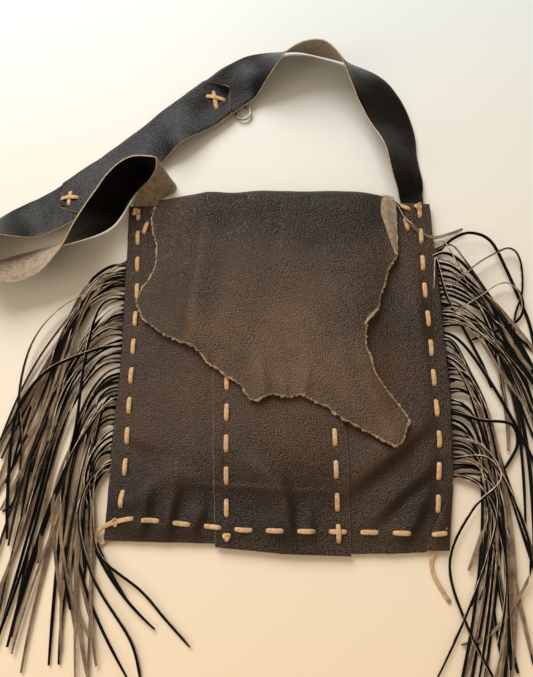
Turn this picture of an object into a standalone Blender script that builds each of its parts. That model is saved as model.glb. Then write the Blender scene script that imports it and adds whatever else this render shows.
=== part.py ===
"""Fringed shoulder bag of soft black leather, laced with suede, lying on its back.

X runs across the bag, Y from its foot to its mouth and Z up from the table.
The origin is the middle of the back panel's outer face. All sizes are in millimetres
and turn into metres where a mesh is made.
"""

import math

import bmesh
import bpy
from mathutils import Matrix, Vector

MM = 0.001

# Leather, lace and the play between layers
LEATHER = 1.2
LACE_WIDTH = 4.2
LACE_THICK = 1.0
PLAY = 0.3
HOLE_PLAY = 0.4
MERGE_DISTANCE = 0.01

# Body of the bag
BODY_HEIGHT = 300.0
FOOT_Y = -BODY_HEIGHT / 2
MOUTH_Y = BODY_HEIGHT / 2


def shifted(points, place, by):
    """Points whose value at the place given is measured from the foot or the mouth, moved there."""
    return [(*point[:place], point[place] + by, *point[place + 1:]) for point in points]


LEFT_EDGE = [(FOOT_Y, -140), (FOOT_Y + 90, -138), (0, -136), (MOUTH_Y - 90, -137), (MOUTH_Y, -140)]
RIGHT_EDGE = [(FOOT_Y, 140), (FOOT_Y + 50, 146), (FOOT_Y + 120, 148), (MOUTH_Y - 90, 144), (MOUTH_Y, 140)]
BULGE = 7.0
BULGE_RISE = [0.0, 0.16, 0.5, 0.84, 1.0]
BULGE_STEP_X = 13.0
BULGE_STEP_Y = 15.0
SEAM_INNER_X = 118.0
SEAM_INNER_Y = FOOT_Y + 22.0
FOOT_BAND_TOP = SEAM_INNER_Y
FOOT_BAND_END = SEAM_INNER_Y + BULGE_STEP_Y
BACK_BAND_TOP = FOOT_Y + 29.0
BACK_BAND_END = BACK_BAND_TOP + BULGE_STEP_Y
SIDE_BAND_END = 95.0

# Layers at the seams, from the table up
BACK_UNDER = LACE_THICK + PLAY
INSERT_UNDER = BACK_UNDER + LEATHER + PLAY
FRONT_UNDER_SIDE = INSERT_UNDER + LEATHER + PLAY
FRONT_UNDER_FOOT = INSERT_UNDER
PANEL_LAP = LEATHER + PLAY
FLAP_SLACK = 0.7
FLAP_LIFT = LEATHER + PANEL_LAP + 2 * PLAY + LACE_THICK + FLAP_SLACK

# Front panels
CENTRE_LEFT = [(FOOT_Y - 10, -47), (MOUTH_Y, -60)]
CENTRE_RIGHT = [(FOOT_Y - 10, 63), (MOUTH_Y, 50)]
SIDE_LAP = 20.0
LEFT_FOOT = [(-141, FOOT_Y + 1), (-30, FOOT_Y)]
CENTRE_FOOT = [(-61, FOOT_Y - 2), (-19, FOOT_Y - 5), (5, FOOT_Y - 7), (64, FOOT_Y - 8)]
RIGHT_FOOT = [(30, FOOT_Y - 7), (99, FOOT_Y - 5), (150, FOOT_Y - 2)]
RIGHT_CORNER_EDGE = [(FOOT_Y - 10, 118), (FOOT_Y + 38, 141)] + RIGHT_EDGE[1:]

# Flap: its width at the fold, its two raw side edges and its raw lower edge, measured from the mouth
FOLD_LEFT = -109.0
FOLD_RIGHT = 108.0
FOLD_STEPS = 4
FLAP_LEFT = shifted([(-94, -125), (-84, -121), (-74, -114), (-57, -109), (-43, -109), (-15, -116),
                     (0, FOLD_LEFT)], 0, MOUTH_Y)
FLAP_RIGHT = shifted([(-199, 111), (-181, 99), (-160, 84), (-137, 77), (-121, 78), (-92, 91), (-62, 101),
                      (-47, 109), (0, FOLD_RIGHT)], 0, MOUTH_Y)
FLAP_FOOT = shifted([(-125, -94), (-118, -111), (-103, -123), (-67, -143), (-51, -156), (-21, -184),
                     (8, -180), (38, -186), (60, -201), (99, -222), (107, -211), (111, -199)], 1, MOUTH_Y)
FLAP_ROWS = [0.15, 0.36, 0.58, 0.8, 1.0]

# Lacing: running stitches through punched holes
STITCH = 14.0
SIDE_COUNT = 10
SEAM_COUNT = 10
PITCH = (BODY_HEIGHT - 40) / SIDE_COUNT
SIDE_FIRST_Y = MOUTH_Y - 32.0
SIDE_TOP_STITCH = (MOUTH_Y - 3.0, MOUTH_Y - 14.0)
LEFT_LACE = [(FOOT_Y - 10, -127), (-65, -125.5), (66, -126), (MOUTH_Y - 31, -129), (MOUTH_Y + 10, -131)]
RIGHT_LACE = [(FOOT_Y - 10, 130), (FOOT_Y + 33, 133), (-64, 137), (16, 134), (67, 131), (MOUTH_Y + 10, 130)]
FOOT_COUNT = 9
FOOT_FIRST_X = LEFT_EDGE[0][1] + 39.0
FOOT_LAST_X = RIGHT_EDGE[0][1] - 37.0
FOOT_PITCH = (FOOT_LAST_X - FOOT_FIRST_X) / (FOOT_COUNT - 1)
FOOT_LACE = shifted([(-160, 14), (-127, 17), (-102, 17.5), (-75, 15), (-25, 11), (160, 11)], 1, FOOT_Y)
FOOT_WRAP_X = -144.5
FOOT_WRAP_TUCK = -133.0
FOOT_WRAP_END = -115.0
FOOT_END = (134.0, 139.0)
LEFT_SEAM_FIRST_Y = MOUTH_Y - 38.0
LEFT_SEAM_LACE = [(FOOT_Y - 10, -38), (MOUTH_Y + 10, -45)]
LEFT_SEAM_END = FOOT_Y + 15.7
RIGHT_SEAM_FIRST_Y = MOUTH_Y - 32.0
RIGHT_SEAM_LACE = [(FOOT_Y - 10, 53), (MOUTH_Y + 10, 43)]
CROSS_STITCH = (FOOT_Y + 16.5, FOOT_Y + 2.5)
HOLE_OVERCUT = 0.7
KNOT_AT = (-38.0, FOOT_Y + 5.0)
KNOT_RADIUS = 3.0
KNOT_STEM = 0.9
KNOT_FOOT = 1.6

# Fringe: one strip of leather a side, cut into thongs
THONG_COUNT = 21
THONG_WIDTH = 5.0
THONG_PLACES = [0.0, 0.06, 0.3, 0.62, 1.0]
THONG_TOP_Y = MOUTH_Y - 56.0
THONG_LOW_Y = FOOT_Y + 58.0
HEADER_INNER = 18.0
HEADER_OUT = 1.5
THONG_FLOOR = 0.3
THONG_LAYER = 1.8
THONG_LAYERS = 4
THONG_FALL = 60.0
# Where the top and the lowest thong of each side pull to, bend and end. Those between reach further.
LEFT_FRINGE_TOP = [(-178, 96), (-215, 20), (-232, -150)]
LEFT_FRINGE_LOW = [(-155, -92), (-159, -165), (-118, -246)]
LEFT_FRINGE_BELLY = 34.0
RIGHT_FRINGE_TOP = [(192, 100), (240, 0), (214, -230)]
RIGHT_FRINGE_LOW = [(178, -92), (152, -160), (148, -262)]
RIGHT_FRINGE_BELLY = 12.0

# Strap: its width, and stations along its centre line from the right corner to the left one.
# Each is x, y from the mouth, roll in degrees (0 lies flat, grain up), share of the width, lift off the table.
STRAP_WIDTH = 45.0
STRAP_END_WIDTH = 22.0
STRAP_STEP = 9.0
SEAM_LIFT = INSERT_UNDER
LAP_LIFT = LACE_THICK + PLAY
RING_LIFT = 4.9
LAP_REACH = 24.0
LAP_TUCK = 20.0
END_SHARE = STRAP_END_WIDTH / STRAP_WIDTH
RIGHT_TUCK = [(124, -19, 0, END_SHARE, SEAM_LIFT), (124, -1, 0, END_SHARE, SEAM_LIFT),
              (124, 4, 0, END_SHARE, SEAM_LIFT), (123.5, 8, 0, END_SHARE, SEAM_LIFT)]
RIGHT_RUN = [
    (122, 18, 20, 28 / 45, 1.4), (118, 30, 32, 0.8, 0.6), (114, 45, 40, 42 / 45, 0.6), (111, 62, 34, 1, 0.6),
    (106, 82, 22, 1, 1), (96, 105, 20, 1, 2), (82, 126, 34, 1, 2), (64, 143, 56, 1, 1),
    (44, 154, 68, 1, 0.6), (22, 158, 60, 1, 0.6), (2, 154, 48, 1, 1.2), (-17, 145, 26, 1, 3.5),
    (-34, 133, 3, 1, RING_LIFT), (-48, 123, 0, 1, RING_LIFT), (-61, 113, 0, 1, RING_LIFT),
    (-76, 101, 0, 1, RING_LIFT),
]
MIDDLE_RUN = [(-97, 86, 4, 1, 3.5), (-118, 69, 2, 1, 0.6), (-141, 49, 4, 1, 0.6), (-160, 33, 9, 1, 0.9)]
LEFT_RUN = [
    (-180, 17, 12, 1, LAP_LIFT), (-197, 4, 12, 1, LAP_LIFT), (-213, -6, 12, 1, LAP_LIFT),
    (-231, -15, 14, 1, LAP_LIFT), (-248, -21, 30, 1, 0.6), (-266, -29, 54, 1, 0.6), (-277, -39, 75, 1, 0.6),
    (-280, -50, 92, 1, 0.6), (-274, -59, 108, 1, 0.6), (-261, -64, 126, 1, 0.6), (-245, -64, 140, 1, 0.6),
    (-230, -61, 145, 1, 0.6), (-213, -55, 140, 1, 0.6), (-195, -45, 122, 1, 0.6), (-178, -31, 98, 1, 0.6),
    (-163, -16, 80, 1, 0.6), (-154, -3, 76, 1, 0.6), (-147, 10, 78, 1, 0.6), (-139, 21, 83, 1, 0.6),
    (-128, 30, 90, 1, 0.6), (-114, 33, 98, 1, 0.6),
]
# Where the strap twists flat and slips in at the left corner: its upper and its base edge, y from the mouth
LEFT_ENTRY = [
    ((-106.0, 28.0, 44.0), (-99.0, 28.5, 0.8)), ((-107.5, 21.5, 37.0), (-97.0, 20.0, 1.2)),
    ((-116.0, 19.0, 24.0), (-104.0, 13.0, 1.8)), ((-127.0, 15.0, 12.0), (-111.5, 9.5, 2.8)),
    ((-134.5, 10.5, 5.0), (-114.0, 4.8, 4.0)), ((-136.0, 3.5, 4.0), (-114.2, 2.0, 4.0)),
    ((-136.0, -2.0, 4.0), (-114.3, -3.0, 4.0)), ((-136.6, -19.0, 4.0), (-115.0, -19.0, 4.0)),
]
RIGHT_LAP_AT = (-62.0, MOUTH_Y + 114.0)
LEFT_LAP_AT = (-196.0, MOUTH_Y + 7.0)
RIGHT_LAP_BARS = [shifted([(-65, 126), (-60, 102)], 1, MOUTH_Y), shifted([(-72, 116), (-52, 111)], 1, MOUTH_Y)]
LEFT_LAP_BARS = [shifted([(-196, 14.5), (-195.5, -0.5)], 1, MOUTH_Y), shifted([(-204.5, 7), (-187, 7)], 1, MOUTH_Y)]

# Ring that hangs on a lace loop at the strap's right lap
RING_RADIUS = 7.2
RING_WIRE = 1.0
RING_CENTRE = (-34.7, MOUTH_Y + 100.3)
RING_SIDE = (-0.763, 0.646)
RING_FLOOR = 1.4
LOOP_WIDTH = 2.4
LOOP_THICK = 0.8
LOOP_PLAY = 0.4
LOOP_TAIL = 10.6

# Loose end of the foot lace, from its last hole down to the table, measured from the foot
TAIL_ROUTE = shifted([(138.0, 16.0, 4.7), (135.5, 10.5, 4.7), (133.0, 5.0, 4.3), (130.6, 0.0, 3.6),
                      (128.2, -4.5, 2.4), (126.6, -9.0, 1.2), (126.2, -14.5, 0.7), (127.8, -21.0, 0.7),
                      (130.2, -26.0, 0.7), (133.0, -31.0, 0.7), (136.0, -36.0, 0.7), (139.2, -41.0, 0.7)],
                     1, FOOT_Y)

BLACK = ("black_leather", (0.055, 0.047, 0.042, 1.0), 0.5, 0.0)
SUEDE = ("tan_suede", (0.62, 0.47, 0.34, 1.0), 0.95, 0.0)
STEEL = ("ring_steel", (0.62, 0.6, 0.56, 1.0), 0.3, 1.0)


def clear_scene():
    for thing in list(bpy.data.objects):
        bpy.data.objects.remove(thing)


def collection(name):
    made = bpy.data.collections.new(name)
    bpy.context.scene.collection.children.link(made)
    return made


def material(spec):
    name, colour, roughness, metallic = spec
    made = bpy.data.materials.get(name) or bpy.data.materials.new(name)
    made.use_nodes = True
    shader = made.node_tree.nodes["Principled BSDF"]
    shader.inputs["Base Color"].default_value = colour
    shader.inputs["Roughness"].default_value = roughness
    shader.inputs["Metallic"].default_value = metallic
    return made


def along(points, at):
    """The value at a place along a list of (place, value), straight between its points."""
    if at <= points[0][0]:
        return points[0][1]
    for (a, low), (b, high) in zip(points, points[1:]):
        if at <= b:
            return low + (high - low) * (at - a) / (b - a)
    return points[-1][1]


def mix(a, b, share):
    return a + (b - a) * share


# Heights of the layers

def bulge_share(distance, step):
    knots = [(i * step, rise) for i, rise in enumerate(BULGE_RISE)]
    return along(knots, distance)


def side_band(x):
    return along([(SIDE_BAND_END, 0.0), (SEAM_INNER_X, 1.0)], abs(x))


def front_under(x, y):
    """Underside of a side front panel: on the header at the sides, on the back at the foot, crowned between."""
    header = side_band(x) * along([(FOOT_BAND_TOP, 0.0), (FOOT_BAND_END, 1.0)], y)
    crown = bulge_share(SEAM_INNER_X - abs(x), BULGE_STEP_X) * bulge_share(y - SEAM_INNER_Y, BULGE_STEP_Y)
    return mix(FRONT_UNDER_FOOT, FRONT_UNDER_SIDE, header) + BULGE * crown


def centre_under(x, y):
    return front_under(x, y) + PANEL_LAP


def back_under(x, y):
    """Outer face of the back: on the table in the middle, raised by the lacing under the seams."""
    foot = along([(BACK_BAND_TOP, 1.0), (BACK_BAND_END, 0.0)], y)
    side = along([(SIDE_BAND_END, 0.0), (-FOLD_LEFT, 1.0)], abs(x))
    return BACK_UNDER * max(foot, side)


def flap_top(x, y):
    return front_under(x, y) + FLAP_LIFT + LEATHER


# Mesh helpers

def add_sheet(bm, us, vs, place):
    """Adds a grid of faces to bm and puts each of its points where place(u, v) says."""
    made = bmesh.ops.create_grid(bm, x_segments=len(us) - 1, y_segments=len(vs) - 1, size=1.0)["verts"]
    for i, vert in enumerate(made):
        vert.co = Vector(place(us[i % len(us)], vs[i // len(us)])) * MM


def finish_mesh(name, bm, spec, group):
    mesh = bpy.data.meshes.new(name)
    bm.to_mesh(mesh)
    bm.free()
    made = bpy.data.objects.new(name, mesh)
    group.objects.link(made)
    mesh.materials.append(material(spec))
    return made


def thicken(thing, thickness, offset):
    made = thing.modifiers.new("thickness", "SOLIDIFY")
    made.thickness = thickness * MM
    made.offset = offset
    made.use_even_offset = True


def punch(thing, cutter):
    made = thing.modifiers.new("holes", "BOOLEAN")
    made.operation = "DIFFERENCE"
    made.solver = "EXACT"
    made.object = cutter


def panel(name, us, vs, place, group):
    bm = bmesh.new()
    add_sheet(bm, us, vs, place)
    made = finish_mesh(name, bm, BLACK, group)
    thicken(made, LEATHER, 1.0)
    return made


# Leather panels

def bulge_columns(outer, inner):
    """Columns of a side panel, from its outer edge at u 0 to its inner edge at u 1."""
    steps = [SEAM_INNER_X - i * BULGE_STEP_X for i in range(len(BULGE_RISE))]
    return [outer] + steps + [inner]


def panel_rows():
    steps = [SEAM_INNER_Y + i * BULGE_STEP_Y for i in range(len(BULGE_RISE))]
    return sorted([FOOT_Y, 0.0, MOUTH_Y - 90.0, MOUTH_Y] + steps)


def front_left(group):
    inner = CENTRE_LEFT[0][1] + SIDE_LAP
    columns = [-x for x in bulge_columns(-LEFT_EDGE[0][1], -inner)]

    def place(x, y):
        if x == columns[0]:
            x = along(LEFT_EDGE, y)
        foot = along(LEFT_FOOT, x)
        y = foot if y == FOOT_Y else y
        return x, y, front_under(x, y)

    return panel("front_left_panel", columns, panel_rows(), place, group)


def front_right(group):
    inner = CENTRE_RIGHT[-1][1] - SIDE_LAP / 2
    columns = bulge_columns(RIGHT_EDGE[0][1], inner)[::-1]

    def place(x, y):
        if x == columns[-1]:
            x = along(RIGHT_CORNER_EDGE, y)
        if x == SEAM_INNER_X and y < SEAM_INNER_Y:
            x = along(RIGHT_CORNER_EDGE, FOOT_Y) - LACE_WIDTH
        foot = along(RIGHT_FOOT, x)
        y = foot if y == FOOT_Y else y
        return x, y, front_under(x, y)

    return panel("front_right_panel", columns, panel_rows(), place, group)


def front_centre(group):
    columns = [0.0, 0.25, 0.5, 0.75, 1.0]

    def place(u, y):
        x = mix(along(CENTRE_LEFT, y), along(CENTRE_RIGHT, y), u)
        foot = along(CENTRE_FOOT, x)
        y = foot if y == FOOT_Y else y
        return x, y, centre_under(x, y)

    return panel("front_centre_panel", columns, panel_rows(), place, group)


def back_and_flap(group):
    """One hide: the back panel, the fold over the mouth and the raw-edged flap."""
    span = FLAP_FOOT[-1][0] - FLAP_FOOT[0][0]
    shares = [(x - FLAP_FOOT[0][0]) / span for x, _ in FLAP_FOOT]
    columns = [mix(FOLD_LEFT, FOLD_RIGHT, share) for share in shares]
    edge_columns = [-200.0] + columns + [200.0]
    rows = [FOOT_Y, BACK_BAND_TOP, BACK_BAND_END, 0.0, MOUTH_Y / 2, MOUTH_Y]

    def place_back(x, y):
        x = min(max(x, along(LEFT_EDGE, y)), along(RIGHT_EDGE, y))
        return x, y, back_under(x, y)

    def place_fold(x, turn):
        low = back_under(x, MOUTH_Y)
        radius = (flap_top(x, MOUTH_Y) - low) / 2
        return x, MOUTH_Y + radius * math.sin(turn), low + radius * (1 - math.cos(turn))

    def place_flap(share, down):
        foot = along(FLAP_FOOT, mix(FLAP_FOOT[0][0], FLAP_FOOT[-1][0], share))
        left_y = mix(MOUTH_Y, FLAP_FOOT[0][1], down)
        right_y = mix(MOUTH_Y, FLAP_FOOT[-1][1], down)
        x = mix(along(FLAP_LEFT, left_y), along(FLAP_RIGHT, right_y), share)
        y = mix(MOUTH_Y, foot, down)
        return x, y, flap_top(x, y)

    bm = bmesh.new()
    add_sheet(bm, edge_columns, rows, place_back)
    turns = [math.pi * i / FOLD_STEPS for i in range(FOLD_STEPS + 1)]
    add_sheet(bm, columns, turns, place_fold)
    add_sheet(bm, shares, [0.0] + FLAP_ROWS, place_flap)
    bmesh.ops.remove_doubles(bm, verts=bm.verts, dist=MERGE_DISTANCE * MM)
    made = finish_mesh("back_and_flap", bm, BLACK, group)
    thicken(made, LEATHER, 1.0)
    return made


# Lacing

def stitch_ends(first, pitch, count, direction):
    """Start and end of each stitch, as places along the seam, for count stitches."""
    centres = [first + direction * pitch * i for i in range(count)]
    return [(c - direction * STITCH / 2, c + direction * STITCH / 2) for c in centres]


def laid_over(height, start, end):
    """Heights of a straight stitch's ends, lifted so that it clears the surface under it."""
    low, high = height(start), height(end)
    lift = max(height(mix(start, end, i / 8)) - mix(low, high, i / 8) for i in range(9))
    return low + lift + PLAY + LACE_THICK / 2, high + lift + PLAY + LACE_THICK / 2


def laid_under(height, start, end):
    low, high = height(start), height(end)
    drop = max(mix(low, high, i / 8) - height(mix(start, end, i / 8)) for i in range(9))
    return low - drop - PLAY - LACE_THICK / 2, high - drop - PLAY - LACE_THICK / 2


def running_path(stitches, over, unders):
    """Points (place, height) of a lace that goes over the stitches and under between them.

    unders has the surface that the lace runs below before, between and after the stitches.
    """
    direction = 1 if stitches[0][1] > stitches[0][0] else -1
    tuck = direction * STITCH / 4
    first = stitches[0][0]
    path = [(first - tuck, laid_under(unders[0], first - tuck, first)[0])]
    path.append((first, laid_under(unders[0], first - tuck, first)[1]))
    for i, (start, end) in enumerate(stitches):
        low, high = laid_over(over, start, end)
        path += [(start, low), (end, high)]
        after = stitches[i + 1][0] if i + 1 < len(stitches) else end + tuck
        low, high = laid_under(unders[i + 1], end, after)
        path += [(end, low), (after, high)]
    return path


def lace_mesh(name, path, at, across, group):
    """A flat lace along path. at(place) gives its x and y, across its width's direction."""
    bm = bmesh.new()

    def put(side, i):
        place, height = path[i]
        x, y = at(place)
        return x + across[0] * side * LACE_WIDTH / 2, y + across[1] * side * LACE_WIDTH / 2, height

    add_sheet(bm, [-1.0, 1.0], list(range(len(path))), put)
    made = finish_mesh(name, bm, SUEDE, group)
    thicken(made, LACE_THICK, 0.0)
    return made


def hole_cutter(name, holes, along_y, group):
    """One box for each hole, long across the lace. A hole is x, y and the heights it runs between."""
    bm = bmesh.new()
    wide, thin = LACE_WIDTH + 2 * HOLE_PLAY, LACE_THICK + 2 * HOLE_PLAY
    for x, y, low, high in holes:
        low, high = low - HOLE_OVERCUT, high + HOLE_OVERCUT
        size = (wide, thin, high - low) if along_y else (thin, wide, high - low)
        box = Matrix.LocRotScale(Vector((x, y, (low + high) / 2)) * MM, None, Vector(size) * MM)
        bmesh.ops.create_cube(bm, size=1.0, matrix=box)
    made = finish_mesh(name, bm, SUEDE, group)
    made.hide_render = True
    made.display_type = "WIRE"
    return made


def side_lace(name, line, group, cutters):
    """Joins front, fringe and back down one side."""
    stitches = [SIDE_TOP_STITCH] + stitch_ends(SIDE_FIRST_Y, PITCH, SIDE_COUNT, -1)

    def at(y):
        return along(line, y), y

    def over(y):
        return front_under(*at(y)) + LEATHER

    def under(y):
        return back_under(*at(y))

    path = running_path(stitches, over, [under] * (len(stitches) + 1))
    made = lace_mesh(name, path, at, (-1.0, 0.0), group)
    holes = [(*at(y), under(y), over(y)) for stitch in stitches for y in stitch]
    return made, hole_cutter(name + "_holes", holes, True, cutters)


def seam_lace(name, line, first, last, group, cutters):
    """Joins the centre panel to a side panel through the front, and at the foot through the back too."""
    stitches = stitch_ends(first, PITCH, SEAM_COUNT, -1)
    through_back = 1 + 2 * (len(last) > 0)
    stitches += last

    def at(y):
        return along(line, y), y

    def over(y):
        crossing = LACE_THICK + PLAY if y < FOOT_BAND_TOP - STITCH / 4 else 0.0
        return centre_under(*at(y)) + LEATHER + crossing

    def inside(y):
        return front_under(*at(y))

    def behind(y):
        return back_under(*at(y))

    unders = [inside] * SEAM_COUNT + [behind] * (1 + len(last))
    path = running_path(stitches, over, unders)
    if not last:
        path[-1] = (LEFT_SEAM_END, path[-1][1])
    made = lace_mesh(name, path, at, (-1.0, 0.0), group)
    ends = [y for stitch in stitches for y in stitch]
    holes = []
    for i, y in enumerate(ends):
        low = behind if i >= len(ends) - through_back else inside
        holes.append((*at(y), low(y), centre_under(*at(y)) + LEATHER))
    return made, hole_cutter(name + "_holes", holes, True, cutters)


def foot_lace(group, cutters):
    """Joins front and back along the foot, and wraps round the lower left corner."""
    stitches = stitch_ends(FOOT_FIRST_X, FOOT_PITCH, FOOT_COUNT, 1)

    def at(x):
        return x, along(FOOT_LACE, x)

    def over(x):
        in_centre = along(CENTRE_LEFT, FOOT_Y) - PLAY <= x <= along(CENTRE_RIGHT, FOOT_Y) + PLAY
        return front_under(*at(x)) + LEATHER + (PANEL_LAP if in_centre else 0.0)

    def under(x):
        return back_under(*at(x))

    wrap_top, wrap_high = laid_over(over, FOOT_WRAP_X, FOOT_WRAP_END)
    wrap_low = under(FOOT_WRAP_TUCK) - PLAY - LACE_THICK / 2
    path = [(FOOT_WRAP_TUCK, wrap_low), (FOOT_WRAP_X, wrap_low), (FOOT_WRAP_X, wrap_top),
            (FOOT_WRAP_END, wrap_high), (FOOT_WRAP_END, wrap_low)]
    path += running_path(stitches, over, [under] * (len(stitches) + 1))[1:-1]
    end_low = under(FOOT_END[0]) - PLAY - LACE_THICK / 2
    end_high = INSERT_UNDER + LACE_THICK / 2
    path += [(FOOT_END[0], end_low), (FOOT_END[0], end_high), (FOOT_END[1], end_high)]
    made = lace_mesh("foot_lace", path, at, (0.0, 1.0), group)
    places = [FOOT_WRAP_END, FOOT_END[0]] + [x for stitch in stitches for x in stitch]
    holes = [(*at(x), under(x), over(x)) for x in places]
    return made, hole_cutter("foot_lace_holes", holes, False, cutters)


def turned(name, profile, at, spec, group, steps=12):
    """A turned piece: profile is (radius, height) from the top of the axis down its outer side."""
    bm = bmesh.new()
    verts = [bm.verts.new(Vector((radius, 0.0, height)) * MM) for radius, height in profile]
    for a, b in zip(verts, verts[1:]):
        bm.edges.new((a, b))
    made = finish_mesh(name, bm, spec, group)
    made.location = Vector(at) * MM
    screw = made.modifiers.new("turn", "SCREW")
    screw.steps = steps
    screw.render_steps = steps
    screw.use_merge_vertices = True
    screw.merge_threshold = MERGE_DISTANCE * MM
    return made


def seam_knot(group, cutters):
    x, y = KNOT_AT
    top = centre_under(x, y) + LEATHER + PLAY
    profile = [(0.0, top + KNOT_RADIUS * 0.6), (KNOT_RADIUS * 0.7, top + KNOT_RADIUS * 0.45),
               (KNOT_RADIUS, top + KNOT_RADIUS * 0.2), (KNOT_RADIUS * 0.8, top), (KNOT_STEM, top),
               (KNOT_STEM, LACE_THICK), (KNOT_FOOT, LACE_THICK), (KNOT_FOOT, 0.2), (0.0, 0.2)]
    made = turned("seam_knot", profile, (x, y, 0.0), SUEDE, group)
    bm = bmesh.new()
    side = 2 * (KNOT_STEM + HOLE_PLAY)
    box = Matrix.LocRotScale(Vector((x, y, top / 2)) * MM, None, Vector((side, side, top)) * MM)
    bmesh.ops.create_cube(bm, size=1.0, matrix=box)
    cutter = finish_mesh("seam_knot_hole", bm, SUEDE, cutters)
    cutter.hide_render = True
    cutter.display_type = "WIRE"
    return made, cutter


# Fringe

def bezier(points, t):
    a, b, c, d = (Vector(p) for p in points)
    return a * (1 - t) ** 3 + b * 3 * t * (1 - t) ** 2 + c * 3 * t * t * (1 - t) + d * t ** 3


def bezier_heading(points, t):
    a, b, c, d = (Vector(p) for p in points)
    return ((b - a) * (1 - t) ** 2 + (c - b) * 2 * t * (1 - t) + (d - c) * t * t).normalized()


def fringe(name, edge, top, low, belly, group):
    """A header strip between the panels and its thongs, cut as one piece of leather."""
    side = -1 if edge[0][1] < 0 else 1
    bm = bmesh.new()
    roots = [mix(THONG_TOP_Y, THONG_LOW_Y, i / (THONG_COUNT - 1)) for i in range(THONG_COUNT)]

    def edge_x(y):
        return along(edge, y) + side * HEADER_OUT

    rows = sorted((y + s * THONG_WIDTH / 2, edge_x(y)) for y in roots for s in (-1, 1))

    def place_header(u, row):
        y, outer = row
        inner = outer - side * (HEADER_OUT + HEADER_INNER)
        return (outer if u == side else inner), y, INSERT_UNDER

    add_sheet(bm, [-1, 1], rows, place_header)
    for i, y in enumerate(roots):
        share = i / (THONG_COUNT - 1)
        root = (edge_x(y), y)
        reach = (mix(top[0][0], low[0][0], share), y)
        bend = (mix(top[1][0], low[1][0], share), mix(top[1][1], low[1][1], share))
        end_y = mix(top[2][1], low[2][1], share) - belly * math.sin(math.pi * share)
        end = (mix(top[2][0], low[2][0], share), end_y)
        points = [root, reach, bend, end]
        layer = THONG_LAYER * (i % THONG_LAYERS)

        def place_thong(u, t, points=points, layer=layer):
            centre, heading = bezier(points, t), bezier_heading(points, t)
            spot = centre + Vector((heading.y, -heading.x)) * u * THONG_WIDTH / 2
            gone = max(side * (spot.x - edge_x(spot.y)), FOOT_Y - spot.y)
            height = layer * (t > 0) + along([(0.0, INSERT_UNDER), (THONG_FALL, THONG_FLOOR)], gone)
            return spot.x, spot.y, height

        add_sheet(bm, [-1.0, 1.0], THONG_PLACES, place_thong)
    bmesh.ops.remove_doubles(bm, verts=bm.verts, dist=MERGE_DISTANCE * MM)
    made = finish_mesh(name, bm, BLACK, group)
    thicken(made, LEATHER, 1.0)
    return made


# Strap

def catmull(values, i, t):
    """Smooth value between values[i] and values[i + 1], through all of them."""
    a, b = values[max(i - 1, 0)], values[i]
    c, d = values[i + 1], values[min(i + 2, len(values) - 1)]
    return 0.5 * (2 * b + (c - a) * t + (2 * a - 5 * b + 4 * c - d) * t * t + (3 * b - a - 3 * c + d) * t ** 3)


def strap_frames():
    """Frames along the whole strap: centre, direction across, grain normal, width, run length."""
    stations = shifted(RIGHT_TUCK + RIGHT_RUN + MIDDLE_RUN + LEFT_RUN, 1, MOUTH_Y)
    columns = list(zip(*stations))
    samples = []
    for i in range(len(stations) - 1):
        length = math.dist(stations[i][:2], stations[i + 1][:2])
        count = max(1, round(length / STRAP_STEP))
        samples += [[catmull(c, i, j / count) for c in columns] for j in range(count)]
    samples.append(list(stations[-1]))
    frames, run = [], 0.0
    for i, (x, y, roll, share, lift) in enumerate(samples):
        width = share * STRAP_WIDTH
        before, after = samples[max(i - 1, 0)], samples[min(i + 1, len(samples) - 1)]
        heading = Vector((after[0] - before[0], after[1] - before[1], 0.0)).normalized()
        outward = Vector((heading.y, -heading.x, 0.0))
        turn = math.radians(roll)
        across = Vector((0, 0, math.sin(turn))) - outward * math.cos(turn)
        grain = Vector((0, 0, math.cos(turn))) + outward * math.sin(turn)
        height = lift + abs(math.sin(turn)) * width / 2 + LEATHER * max(0.0, -math.cos(turn))
        if i:
            run += math.dist(samples[i - 1][:2], (x, y))
        frames.append({"centre": Vector((x, y, height)), "across": across, "grain": grain, "width": width,
                       "run": run, "heading": heading})
    for edges in LEFT_ENTRY:
        upper, base = (Vector(edge) for edge in shifted(edges, 1, MOUTH_Y))
        centre, last = (upper + base) / 2, frames[-1]
        heading, across = (centre - last["centre"]).normalized(), (upper - base).normalized()
        run = last["run"] + math.dist(last["centre"][:2], centre[:2])
        frames.append({"centre": centre, "across": across, "grain": heading.cross(across).normalized(),
                       "width": (upper - base).length, "run": run, "heading": heading})
    return frames


def nearest_run(frames, spot):
    return min(frames, key=lambda f: math.dist(f["centre"][:2], spot))["run"]


def strap_piece(name, frames, group, lift=0.0, pointed=False):
    """A length of the strap. A pointed one's outer two frames at each end only place its tips."""
    bm = bmesh.new()
    rows = frames[2:-2] if pointed else frames

    def middle(frame):
        return frame["centre"] + frame["grain"] * lift

    def put(u, i):
        if pointed and u == 0.0 and i == 0:
            return (middle(frames[0]) + middle(frames[1])) / 2
        if pointed and u == 0.0 and i == len(rows) - 1:
            return (middle(frames[-1]) + middle(frames[-2])) / 2
        return middle(rows[i]) + rows[i]["across"] * u * rows[i]["width"] / 2

    columns = [-1.0, 0.0, 1.0] if pointed else [-1.0, 1.0]
    add_sheet(bm, columns, list(range(len(rows))), put)
    for face in bm.faces:
        face.normal_flip()
    made = finish_mesh(name, bm, BLACK, group)
    thicken(made, LEATHER, 1.0)
    return made


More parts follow.
